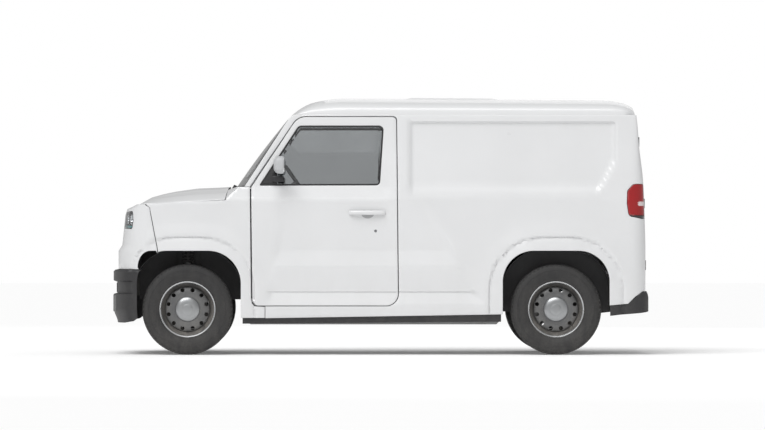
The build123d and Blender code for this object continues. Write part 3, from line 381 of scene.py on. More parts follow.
# ---- mesh helpers ----
def new_object(name: str, vertices: Sequence, faces: Sequence, smooth: float | None = 35.0) -> bpy.types.Object:
    """A mesh object at the origin with its faces pointing outwards.

    Args:
        name: the piece's name.
        vertices: points in metres.
        faces: tuples of vertex numbers.
        smooth: the angle in degrees under which edges are shaded smooth, or None for flat.

    Returns:
        The linked object.
    """
    mesh = bpy.data.meshes.new(name)
    mesh.from_pydata([tuple(v) for v in vertices], [], [tuple(f) for f in faces])
    shape = bmesh.new()
    shape.from_mesh(mesh)
    bmesh.ops.remove_doubles(shape, verts=shape.verts, dist=1e-5)
    bmesh.ops.dissolve_degenerate(shape, edges=shape.edges, dist=1e-6)
    bmesh.ops.recalc_face_normals(shape, faces=shape.faces)
    shape.to_mesh(mesh)
    shape.free()
    obj = bpy.data.objects.new(name, mesh)
    bpy.context.scene.collection.objects.link(obj)
    if smooth is not None:
        shade(obj, smooth)
    return obj


def shade(obj: bpy.types.Object, angle: float) -> None:
    """Smooth shading, kept sharp at edges over an angle in degrees."""
    obj.data.shade_smooth()
    obj.data.set_sharp_from_angle(angle=math.radians(angle))


def dress(obj: bpy.types.Object, finish: str, body: str, *nodes: str) -> bpy.types.Object:
    """Gives a piece its finish and its body, and says which CAD nodes it stands for.

    Args:
        obj: the finished piece.
        finish: the name of its finish.
        body: the body that it rides on.
        nodes: the CAD nodes that it stands for.

    Returns:
        The same piece.
    """
    if not obj.data.materials:
        obj.data.materials.append(MATERIALS[finish])
    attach(obj, body)
    if nodes:
        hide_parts(*nodes)
    LOG.info("%s rides on %s in %s, %d faces", obj.name, body, finish, len(obj.data.polygons))
    return obj


def mirrored(obj: bpy.types.Object, name: str) -> bpy.types.Object:
    """A copy of a left piece for the right side."""
    mesh = obj.data.copy()
    mesh.name = name
    mesh.transform(Matrix.Scale(-1, 4, (0, 1, 0)))
    mesh.flip_normals()
    copy = bpy.data.objects.new(name, mesh)
    bpy.context.scene.collection.objects.link(copy)
    return copy


def joined(name: str, parts: Sequence[bpy.types.Object]) -> bpy.types.Object:
    """Several meshes as one object, each keeping its finish.

    Args:
        name: the new object's name.
        parts: the meshes to join.

    Returns:
        One object that holds them all.
    """
    for part in parts:
        part.select_set(True)
    bpy.context.view_layer.objects.active = parts[0]
    with bpy.context.temp_override(active_object=parts[0], selected_editable_objects=list(parts)):
        bpy.ops.object.join()
    parts[0].name = name
    parts[0].data.name = name
    return parts[0]


def finished(obj: bpy.types.Object, finish: str) -> bpy.types.Object:
    """Puts a finish on a part before it is joined to others."""
    obj.data.materials.clear()
    obj.data.materials.append(MATERIALS[finish])
    return obj


def rounded(corners: Sequence[tuple], pitch: float = 0.02) -> list[Point2]:
    """An outline's corners with arcs, sampled along its length.

    Args:
        corners: points as (u, v) or (u, v, radius), in order round the outline.
        pitch: the longest step along a straight side.

    Returns:
        The closed outline's points, without the first one repeated.
    """
    points: list[Point2] = []
    count = len(corners)
    for index, corner in enumerate(corners):
        here = Vector(corner[:2])
        before = Vector(corners[index - 1][:2]) - here
        after = Vector(corners[(index + 1) % count][:2]) - here
        radius = corner[2] if len(corner) > 2 else 0.0
        if radius <= 0.0:
            points.append(tuple(here))
            continue
        half = before.angle(after) / 2.0
        reach = min(radius / math.tan(half), before.length * 0.49, after.length * 0.49)
        start = here + before.normalized() * reach
        end = here + after.normalized() * reach
        steps = max(3, math.ceil(radius * (math.pi - 2 * half) / pitch), int(math.degrees(math.pi - 2 * half) / 9))
        bulge = math.sin(half)
        for step in range(steps + 1):
            t = step / steps
            weight = 2 * bulge * t * (1 - t)
            blend = (1 - t) ** 2 + weight + t * t
            points.append(tuple(((1 - t) ** 2 * start + weight * here + t * t * end) / blend))
    return resampled(points, pitch)


def resampled(points: Sequence[Point2], pitch: float) -> list[Point2]:
    """The same outline with its long sides cut into even steps.

    Args:
        points: the outline, in order.
        pitch: the longest step allowed.

    Returns:
        The outline with points added on its long sides.
    """
    result: list[Point2] = []
    for index, point in enumerate(points):
        here, there = Vector(point), Vector(points[(index + 1) % len(points)])
        steps = max(1, math.ceil((there - here).length / pitch))
        if (there - here).length < 1e-5:
            continue
        result += [tuple(here.lerp(there, step / steps)) for step in range(steps)]
    return result


def area_of(points: Sequence[Point2]) -> float:
    """Twice the signed area inside an outline."""
    grid = np.array(points)
    nxt = np.roll(grid, -1, axis=0)
    return float(np.sum(grid[:, 0] * nxt[:, 1] - nxt[:, 0] * grid[:, 1]))


def drawn_in(points: Sequence[Point2], by: float) -> list[Point2]:
    """An outline moved inwards by a small distance, point by point.

    Args:
        points: the outline, in order.
        by: how far each point moves inwards.

    Returns:
        The smaller outline, with as many points.
    """
    grid = np.array(points)
    before, after = np.roll(grid, 1, axis=0), np.roll(grid, -1, axis=0)
    along = (grid - before) / np.linalg.norm(grid - before, axis=1)[:, None]
    onward = (after - grid) / np.linalg.norm(after - grid, axis=1)[:, None]
    tangent = along + onward
    tangent /= np.maximum(np.linalg.norm(tangent, axis=1)[:, None], 1e-6)
    cosine = np.clip(np.sum(along * tangent, axis=1), 0.35, 1.0)[:, None]
    turn = 1.0 if area_of(points) > 0 else -1.0
    normal = np.stack([-tangent[:, 1], tangent[:, 0]], axis=1) * turn
    return [tuple(p) for p in grid + normal * by / cosine]


def inside(points: np.ndarray, outline: Sequence[Point2]) -> np.ndarray:
    """Which of many points lie inside an outline.

    Args:
        points: the points to test, one to a row.
        outline: the closed outline.

    Returns:
        True for each point that lies within it.
    """
    edge = np.array(outline)
    nxt = np.roll(edge, -1, axis=0)
    hits = np.zeros(len(points), dtype=bool)
    for (ax, ay), (bx, by) in zip(edge, nxt):
        if ay == by:
            continue
        crosses = (points[:, 1] < ay) != (points[:, 1] < by)
        at = ax + (points[:, 1] - ay) * (bx - ax) / (by - ay)
        hits ^= crosses & (points[:, 0] < at)
    return hits


def gap_to(points: np.ndarray, outline: Sequence[Point2]) -> np.ndarray:
    """Each point's distance to an outline's points."""
    edge = np.array(outline)
    best = np.full(len(points), 1e9)
    for start in range(0, len(edge), 64):
        part = edge[start:start + 64]
        best = np.minimum(best, np.min(np.linalg.norm(points[:, None] - part[None], axis=2), axis=1))
    return best


@dataclass
class Panel:
    """A pressed sheet cut from a surface: rounded at its edges, with a turned-in rim of some depth."""

    name: str
    outline: list[Point2]
    surface: Surface
    inward: Surface
    depth: float = 0.004
    holes: Sequence[list[Point2]] = ()
    pitch: float = 0.02
    rows: Sequence[float] = ()
    columns: Sequence[float] = ()
    curves: Sequence[list[Point2]] = ()
    radius: float = 0.004
    smooth: float = 40.0

    def build(self) -> bpy.types.Object:
        """Cuts, maps and closes the sheet.

        Returns:
            The closed mesh object.
        """
        loops = [self.outline, *self.holes]
        points, edges = self.rims(loops)
        grid = self.filling(loops)
        flat = [Vector(p) for p in points + grid]
        found, _, faces, _, _, _ = geometry.delaunay_2d_cdt(flat, edges, [], 0, 1e-7)
        where = np.array([tuple(p) for p in found])
        triangles = np.array([tuple(face) for face in faces])
        centres = where[triangles].mean(axis=1)
        keep = inside(centres, self.outline)
        for hole in self.holes:
            keep &= ~inside(centres, hole)
        return self.closed(where, triangles[keep], loops)

    def rims(self, loops: Sequence[list[Point2]]) -> tuple[list[Point2], list[tuple[int, int]]]:
        """The outline, and the loops just inside it that round its edge over.

        Args:
            loops: the outline and the openings.

        Returns:
            The points of every loop, and the edges that hold them.
        """
        points: list[Point2] = []
        edges: list[tuple[int, int]] = []
        for number, loop in enumerate(loops):
            sign = 1.0 if number == 0 else -1.0
            for share in (0.0, 0.3, 1.0):
                start = len(points)
                ring = drawn_in(loop, sign * share * self.radius) if share else list(loop)
                points += ring
                if share == 0.0:
                    edges += [(start + i, start + (i + 1) % len(ring)) for i in range(len(ring))]
        return points, edges

    def filling(self, loops: Sequence[list[Point2]]) -> list[Point2]:
        """Points over the middle of the sheet: an even grid, the pressed lines and the arcs.

        Args:
            loops: the outline and the openings.

        Returns:
            The points that lie clear of every loop.
        """
        edge = np.array(self.outline)
        low, high = edge.min(axis=0), edge.max(axis=0)
        spans = [self.lines(low[axis], high[axis], (self.columns, self.rows)[axis]) for axis in (0, 1)]
        grid = np.array([(u, v) for u in spans[0] for v in spans[1]])
        if self.curves:
            extra = np.array([p for curve in self.curves for p in curve])
            grid = grid[gap_to(grid, extra) > self.pitch * 0.45]
            grid = np.concatenate([grid, extra])
        keep = inside(grid, self.outline)
        for hole in self.holes:
            keep &= ~inside(grid, hole)
        grid = grid[keep]
        for loop in loops:
            grid = grid[gap_to(grid, loop) > self.radius + self.pitch * 0.35]
        return [tuple(p) for p in grid]

    def lines(self, low: float, high: float, pressed: Sequence[float]) -> list[float]:
        """Even steps between two ends, moved on to the pressed lines where they are near."""
        steps = np.arange(low + self.pitch / 2, high, self.pitch)
        fixed = [value for value in pressed if low < value < high]
        kept = [value for value in steps if all(abs(value - f) > self.pitch * 0.4 for f in fixed)]
        return sorted(kept + fixed)

    def closed(self, where: np.ndarray, triangles: np.ndarray, loops: Sequence[list[Point2]]) -> bpy.types.Object:
        """Maps the sheet, copies it inwards and joins the two along every rim.

        Args:
            where: the sheet's points.
            triangles: the sheet's triangles, by point.
            loops: the loops whose rims are joined.

        Returns:
            The closed panel as an object.
        """
        gap = np.minimum.reduce([gap_to(where, loop) for loop in loops])
        gap = np.minimum(gap, self.radius)
        sunk = self.radius - np.sqrt(np.maximum(self.radius ** 2 - (self.radius - gap) ** 2, 0.0))
        outer, inner = [], []
        for (u, v), fall in zip(where, sunk):
            point, way = self.surface(u, v), self.inward(u, v)
            outer.append(point + way * min(fall, self.depth * 0.8))
            inner.append(point + way * self.depth)
        count = len(outer)
        faces = [tuple(t) for t in triangles] + [tuple(int(i) + count for i in t[::-1]) for t in triangles]
        used: dict[tuple[int, int], int] = {}
        for a, b, c in triangles:
            for edge in ((a, b), (b, c), (c, a)):
                used[edge] = used.get(edge, 0) + 1
        for (a, b) in used:
            if (b, a) not in used:
                faces.append((int(b), int(a), int(a) + count, int(b) + count))
        return new_object(self.name, outer + inner, faces, self.smooth)


def turned(name: str, profile: Sequence[Point2], centre: Vector, steps: int = 96, closed: bool = True,
           smooth: float = 35.0) -> bpy.types.Object:
    """A shape turned round the Y axis.

    Args:
        name: the piece's name.
        profile: points as (radius, y), from one end to the other.
        centre: the axis's point, as (x, 0, z).
        steps: how many steps the turn takes.
        closed: whether the profile's last point joins its first.
        smooth: the shading angle in degrees.

    Returns:
        The turned object.
    """
    vertices, faces = [], []
    count = len(profile)
    for step in range(steps):
        angle = 2 * math.pi * step / steps
        across, above = math.sin(angle), math.cos(angle)
        vertices += [(centre.x + r * across, centre.y + y, centre.z + r * above) for r, y in profile]
    spans = count if closed else count - 1
    for step in range(steps):
        a, b = step * count, (step + 1) % steps * count
        for i in range(spans):
            j = (i + 1) % count
            faces.append((a + i, a + j, b + j, b + i))
    return new_object(name, vertices, faces, smooth)


def swept(name: str, path: Sequence, radius: float, sides: int = 12, closed: bool = False) -> bpy.types.Object:
    """A round bar along a path, closed at its ends.

    Args:
        name: the object's name.
        path: the points that the bar follows.
        radius: the bar's radius.
        sides: how many sides the bar has.
        closed: whether its end joins its start.

    Returns:
        The bar as an object.
    """
    points = [Vector(p) for p in path]
    count = len(points)
    vertices, faces = [], []
    up = Vector((0, 0, 1))
    for index, point in enumerate(points):
        ahead = points[(index + 1) % count] if closed or index < count - 1 else point
        behind = points[index - 1] if closed or index > 0 else point
        tangent = (ahead - behind).normalized()
        side = tangent.cross(up)
        side = side.normalized() if side.length > 1e-4 else Vector((1, 0, 0))
        up = side.cross(tangent).normalized()
        for k in range(sides):
            angle = 2 * math.pi * k / sides
            vertices.append(point + (side * math.cos(angle) + up * math.sin(angle)) * radius)
    for index in range(count if closed else count - 1):
        a, b = index * sides, (index + 1) % count * sides
        for k in range(sides):
            n = (k + 1) % sides
            faces.append((a + k, a + n, b + n, b + k))
    if not closed:
        faces += [tuple(range(sides)), tuple(reversed(range((count - 1) * sides, count * sides)))]
    return new_object(name, vertices, faces, 50.0)


def block(name: str, low: Sequence[float], high: Sequence[float], soft: float = 0.003) -> bpy.types.Object:
    """A moulded block with rounded edges.

    Args:
        name: the object's name.
        low: the lowest corner.
        high: the highest corner.
        soft: the radius of its edges.

    Returns:
        The block as an object.
    """
    shape = bmesh.new()
    bmesh.ops.create_cube(shape, size=1.0)
    for vertex in shape.verts:
        for axis in range(3):
            vertex.co[axis] = low[axis] if vertex.co[axis] < 0 else high[axis]
    bmesh.ops.bevel(shape, geom=shape.edges[:], offset=soft, segments=3, affect="EDGES", profile=0.5)
    mesh = bpy.data.meshes.new(name)
    shape.to_mesh(mesh)
    shape.free()
    obj = bpy.data.objects.new(name, mesh)
    bpy.context.scene.collection.objects.link(obj)
    shade(obj, 40.0)
    return obj


# ---- the body's surfaces ----
def step(value: float, low: float, high: float) -> float:
    """A smooth rise from 0 at low to 1 at high."""
    t = min(max((value - low) / (high - low), 0.0), 1.0)
    return t * t * (3 - 2 * t)


def hump(value: float, centre: float, width: float) -> float:
    """A bell that is 1 at its centre."""
    return math.exp(-((value - centre) / width) ** 2)


def rounded_gap(u: float, v: float, half: float, top: float, radius: float) -> float:
    """Signed distance to an arch that is open below: negative inside it."""
    across, above = abs(u) - (half - radius), v - (top - radius)
    outside = math.hypot(max(across, 0.0), max(above, 0.0))
    return outside + min(max(across, above), 0.0) - radius


@dataclass(frozen=True)
class Body:
    """The painted body's form: half its width at each height, its two ends, and what is pressed into it."""

    half_width: float = 0.812
    front_start: float = -1.640
    front_reach: float = 0.239
    front_turn: float = 0.340
    rear_start: float = 1.783
    rear_turn: float = 0.110
    front_axle: float = -1.378
    rear_axle: float = 1.252
    axle_height: float = 0.325
    arch_half: float = 0.381
    arch_top: float = 0.418
    arch_radius: float = 0.290
    flare: float = 0.095
    belt: float = 1.105
    belt_half: float = 0.803
    eaves: float = 1.714
    eaves_half: float = 0.725

    @property
    def front_arc(self) -> float:
        """The length of the front corner."""
        return math.pi / 2 * math.hypot(self.front_reach, self.front_turn) / math.sqrt(2)

    @property
    def rear_arc(self) -> float:
        """The length of the rear corner."""
        return math.pi / 2 * self.rear_turn

    def arch_gap(self, s: float, z: float) -> float:
        """Distance to the nearer wheel opening."""
        above = z - self.axle_height
        gaps = [rounded_gap(s - axle, above, self.arch_half, self.arch_top, self.arch_radius)
                for axle in (self.front_axle, self.rear_axle)]
        return min(gaps)

    def section(self, s: float, z: float) -> float:
        """Half the body's width, with every pressed line.

        Args:
            s: the place along the skin.
            z: the height.

        Returns:
            Half the width there.
        """
        plain = np.interp(z, (0.22, 0.62, self.belt), (0.795, 0.806, self.belt_half))
        banded = np.interp(z, (0.25, 0.262, 0.350, 0.449, 0.452, 0.606, 0.632, 0.742, 0.756, self.belt),
                           (0.791, 0.794, 0.806, 0.784, 0.791, 0.812, 0.813, 0.792, 0.791, self.belt_half))
        lower = plain + (banded - plain) * self.band(s, z)
        if z > self.belt:
            cab = np.interp(z, (self.belt, 1.118, 1.190, 1.206, self.eaves),
                            (self.belt_half, 0.797, 0.773, 0.7695, self.eaves_half))
            cargo = np.interp(z, (self.belt, self.eaves), (self.belt_half, self.eaves_half)) - self.recess(s, z)
            lower = cab + (cargo - cab) * step(s, 0.012, 0.150)
        return float(lower) + self.swelling(s, z)

    def band(self, s: float, z: float) -> float:
        """Where the lower body is pressed, between the wheels."""
        front = -0.845 + 0.071 * (z - 0.35) / 0.4
        rear = 0.700 - 0.55 * max(z - 0.449, 0.0) + 0.15 * max(0.449 - z, 0.0) / 0.1
        return step(s, front, front + 0.06) * (1.0 - step(s, rear - 0.075, rear))

    def recess(self, s: float, z: float) -> float:
        """How deep the cargo side is pressed in."""
        end = 1.687 - 0.143 * max(0.0, 1.391 - z) / 0.264
        sides = step(s, 0.203, 0.228) * (1.0 - step(s, end - 0.025, end))
        heights = step(z, 1.127, 1.234) * (1.0 - step(z, 1.652, 1.668))
        return 0.018 * sides * heights

    def swelling(self, s: float, z: float) -> float:
        """How far the wheel arches stand out."""
        gap = self.arch_gap(s, z)
        inner = 0.011 * (1.0 - step(gap, 0.0, self.flare)) - 0.008 * hump(gap, self.flare, 0.008)
        outer = 0.010 * step(gap, self.flare, self.flare + 0.008) * (1.0 - step(gap, self.flare, 0.230))
        return (inner + outer) * (1.0 - step(z, 0.90, 1.0))

    def nose_line(self, z: float) -> float:
        """How far the front face leans back at a height."""
        face = np.interp(z, (0.60, 0.656, 0.741, 0.784, 1.000, 1.041, 1.084, 1.12),
                         (-1.878, -1.879, -1.879, -1.852, -1.829, -1.815, -1.715, -1.66))
        return float(face) + 1.879

    def tail_line(self, z: float) -> float:
        """How far the rear face leans forward at a height."""
        face = np.interp(z, (0.784, 1.034, 1.212, 1.298, 1.469, 1.640, 1.725, 1.775),
                         (1.893, 1.886, 1.879, 1.872, 1.850, 1.836, 1.822, 1.808))
        return float(face) - 1.893

    def plan(self, s: float) -> tuple[float, float, float]:
        """A point round the body's plan.

        Args:
            s: the distance along the skin, equal to x on the flat side.

        Returns:
            x, half width at the full section, and the angle the skin has turned.
        """
        if s < self.front_start:
            turn = min((self.front_start - s) / self.front_arc, 1.0) * math.pi / 2
            beyond = max(self.front_start - s - self.front_arc, 0.0)
            x = self.front_start - self.front_reach * math.sin(turn)
            return x, self.half_width - self.front_turn * (1 - math.cos(turn)) - beyond, -turn
        if s > self.rear_start:
            turn = min((s - self.rear_start) / self.rear_arc, 1.0) * math.pi / 2
            beyond = max(s - self.rear_start - self.rear_arc, 0.0)
            x = self.rear_start + self.rear_turn * math.sin(turn)
            return x, self.half_width - self.rear_turn * (1 - math.cos(turn)) - beyond, turn
        return s, self.half_width, 0.0

    def skin(self, s: float, z: float) -> Vector:
        """The left skin's point at a distance round the body and a height."""
        x, wide, turn = self.plan(s)
        share = abs(turn) / (math.pi / 2)
        blend = share * share * (3 - 2 * share)
        shift = self.nose_line(z) * blend if turn < 0 else self.tail_line(z) * blend
        scale = self.section(s, z) / self.half_width
        scale += (1 - scale) * blend * 0.6
        return Vector((x + shift, -wide * scale, z))

    def inward(self, s: float, z: float) -> Vector:
        """The level direction into the body."""
        turn = self.plan(s)[2]
        return Vector((-math.sin(turn), math.cos(turn), 0.0))


BODY = Body()


def arch_edge(axle: float, grow: float, low: float) -> list[Point2]:
    """A wheel opening's edge from its rear foot over the top to its front foot, let out by grow."""
    half, top = BODY.arch_half + grow, BODY.axle_height + BODY.arch_top + grow
    corners = [(axle + half, low), (axle + half, top, BODY.arch_radius + grow),
               (axle - half, top, BODY.arch_radius + grow), (axle - half, low)]
    ring = rounded(corners, 0.02)
    last = max(i for i, p in enumerate(ring) if abs(p[0] - (axle - half)) < 1e-6)
    return ring[:last + 1]


CREASES = (0.262, 0.350, 0.449, 0.4525, 0.606, 0.632, 0.742, 0.756, BODY.belt, 1.118, 1.190, 1.206)


@dataclass
class Skins:
    """The painted panels that wrap round the body, made on the left and mirrored."""

    gap: float = 0.0022
    door_depth: float = 0.060
    wall: float = 0.040
    sheet: float = 0.004
    door: list[Point2] = field(default_factory=lambda: rounded([
        (-0.916, 0.350, 0.045), (0.127, 0.350, 0.085), (0.114, 1.700, 0.030),
        (-0.590, 1.700, 0.110), (-0.925, 1.195, 0.020),
    ]))
    window: list[Point2] = field(default_factory=lambda: rounded([
        (-0.868, 1.207, 0.008), (-0.004, 1.209, 0.030), (0.024, 1.637, 0.035), (-0.585, 1.637, 0.040),
    ]))

    def build(self) -> None:
        """Makes every wrapped panel on both sides."""
        door = self.panel("door_shell_left", drawn_in(self.door, self.gap), self.door_depth, [self.window])
        self.both(door, "white_paint", "door_{}", "door_shell_{}")
        self.both(self.cup(), "cup_grey", "door_{}")
        self.both(self.fender(), "white_paint", "van_body", "fender_{}")
        self.both(self.body_side(), "white_paint", "van_body", "body_side_{}")
        self.both(self.seal(), "seal_rubber", "door_{}")
        self.both(self.sail(), "gloss_black", "door_{}")
        self.both(self.glass(), "tinted_glass", "window_{}", "door_glass_{}")
        self.both(self.sill_strip(), "black_plastic", "van_body")

    def both(self, left: bpy.types.Object, finish: str, body: str, node: str = "") -> None:
        """Dresses a left piece and its mirror image."""
        right = mirrored(left, left.name.replace("_left", "_right"))
        for obj, side in ((left, "left"), (right, "right")):
            dress(obj, finish, body.format(side), *([node.format(side)] if node else []))

    def panel(self, name: str, outline: list[Point2], depth: float, holes: Sequence = (),
              pitch: float = 0.02, surface: Surface = BODY.skin) -> bpy.types.Object:
        """One panel on the left skin, with the creases and arches in its grid."""
        arcs = [arch_edge(axle, grow, 0.30) for axle in (BODY.front_axle, BODY.rear_axle)
                for grow in (0.012, 0.030, 0.060, 0.088, 0.095, 0.102, 0.112)]
        columns = (0.012, 0.15, 0.203, 0.228, 1.662, 1.687)
        return Panel(name, outline, surface, BODY.inward, depth, holes, pitch,
                     CREASES + (1.127, 1.234, 1.652, 1.668), columns, arcs, 0.003).build()

    def fender(self) -> bpy.types.Object:
        """The front wing, round the front wheel."""
        arch = arch_edge(BODY.front_axle, 0.0, 0.264)
        front = [p for p in arch if p[0] > -1.585]
        outline = front + [(-1.584, 0.7215), (-1.590, 0.760), (-1.646, 1.050), (-1.690, 1.0755)]
        outline += [(-1.109, 1.1030), (-1.026, 1.1975), (-0.9325, 1.1975), (-0.9245, 0.400), (-0.918, 0.368),
                    (-0.900, 0.347), (-0.826, 0.3425), (-0.826, 0.264)]
        return self.panel("fender_left", resampled(outline, 0.02), self.sheet)

    def body_side(self) -> bpy.types.Object:
        """The side of the cargo space, with the door opening's frame and the sill.

        Returns:
            The left side as an object.
        """
        arch = arch_edge(BODY.rear_axle, 0.0, 0.290)
        rear_foot = [p for p in arch if p[1] > 0.354 or p[0] < BODY.rear_axle]
        end = BODY.rear_start + BODY.rear_arc
        outline = [(-0.822, 0.262), (0.870, 0.2895)] + list(reversed(rear_foot))
        outline += [(1.6335, 0.353), (1.764, 0.3645), (1.817, 0.4155), (1.883, 0.4525), (end, 0.4525)]
        outline += [(end, 1.675), (end - 0.035, 1.7125), (-0.620, 1.7145), (-0.655, 1.6870), (-0.9715, 1.200)]
        outline += self.opening_edge()
        return self.panel("body_side_left", resampled(outline, 0.02), self.wall, [lamp_outline(0.0015)])

    def opening_edge(self) -> list[Point2]:
        """The door opening from the windscreen pillar's foot, over the door and down to the sill."""
        path = rounded([(-0.9345, 1.200), (-0.592, 1.7035, 0.110), (0.1175, 1.7035, 0.030),
                        (0.1310, 0.3465, 0.088), (-0.822, 0.3465), (-0.9, 0.8)])
        return [p for p in path if not (p[0] < -0.823 and p[1] < 1.19)]

    def seal(self) -> bpy.types.Object:
        """The rubber round the side window."""
        inner = drawn_in(self.window, 0.012)
        return Panel("window_seal_left", drawn_in(self.window, 0.0008), self.sunk(0.003), BODY.inward, 0.024,
                     [inner], 0.03, radius=0.002).build()

    def sail(self) -> bpy.types.Object:
        """The fixed corner ahead of the window, which carries the mirror."""
        outline = rounded([(-0.858, 1.212, 0.004), (-0.738, 1.212, 0.003), (-0.738, 1.398, 0.004)])
        return Panel("window_sail_left", outline, self.sunk(0.004), BODY.inward, 0.020, (), 0.03,
                     radius=0.002).build()

    def glass(self) -> bpy.types.Object:
        """The dropping side window."""
        outline = rounded([(-0.745, 1.198), (0.000, 1.200), (0.030, 1.643, 0.03), (-0.588, 1.643, 0.04),
                           (-0.748, 1.409)], 0.04)
        return Panel("door_glass_left", outline, self.sunk(0.020), BODY.inward, 0.004, (), 0.04,
                     radius=0.001).build()

    def sunk(self, by: float) -> Surface:
        """The skin without its pressed lines, moved inwards."""
        def surface(s: float, z: float) -> Vector:
            """A point of the moved skin."""
            wide = np.interp(z, (1.190, 1.206, BODY.eaves), (0.773, 0.7695, BODY.eaves_half))
            return Vector((s, -float(wide) + by, z))
        return surface

    def cup(self) -> bpy.types.Object:
        """The dished black cup behind the door handle.

        Returns:
            The left cup as an object.
        """
        centre, half, tall, deep = Vector((-0.0925, 0.0, 1.013)), 0.048, 0.040, 0.010
        rings, steps = 8, 40
        face = BODY.section(centre.x, centre.z)
        vertices = []
        for ring in range(rings + 1):
            share = ring / rings
            for k in range(steps):
                angle = 2 * math.pi * k / steps
                lift = 0.0014 * math.sin(math.pi * min(share * 4, 1)) + 0.0006
                y = -face - lift if share > 0.75 else -face - 0.0004 - 0.0004 * share
                vertices.append((centre.x + half * share * math.cos(angle), y,
                                 centre.z + tall * share * math.sin(angle)))
        for k in range(steps):
            angle = 2 * math.pi * k / steps
            vertices.append((centre.x + half * math.cos(angle), -face + deep, centre.z + tall * math.sin(angle)))
        faces = []
        for ring in range(rings + 1):
            for k in range(steps):
                a, n = ring * steps, (k + 1) % steps
                faces.append((a + k, a + n, a + steps + n, a + steps + k))
        faces.append(tuple(range((rings + 1) * steps, (rings + 2) * steps)))
        return new_object("handle_cup_left", vertices, faces)

    def sill_strip(self) -> bpy.types.Object:
        """The dark strip that shows below the painted sill."""
        def surface(s: float, z: float) -> Vector:
            """A point of the strip, set in from the sill."""
            return Vector((s, -0.770 + (0.29 - z) * 0.15, z))
        outline = [(-0.985, 0.222), (0.860, 0.236), (0.860, 0.300), (-0.985, 0.270)]
        return Panel("sill_strip_left", resampled(outline, 0.04), surface, BODY.inward, 0.012, (), 0.04,
                     radius=0.002).build()


def lamp_outline(grow: float) -> list[Point2]:
    """The tail lamp as seen along the skin, let out by grow."""
    corners = [(1.770, 0.990, 0.030), (1.875, 0.972, 0.010), (1.935, 0.972, 0.012), (1.935, 1.218, 0.012),
               (1.800, 1.218, 0.045), (1.760, 1.170, 0.030), (1.757, 1.080)]
    return drawn_in(rounded(corners, 0.012), -grow)


def whole(s: float, centre: float, surface: Surface, z: float) -> Vector:
    """A left surface carried on over the centre line to the right side."""
    beyond = (s < centre) if centre < 0 else (s > centre)
    point = surface(2 * centre - s if beyond else s, z)
    return Vector((point.x, -point.y, point.z)) if beyond else point


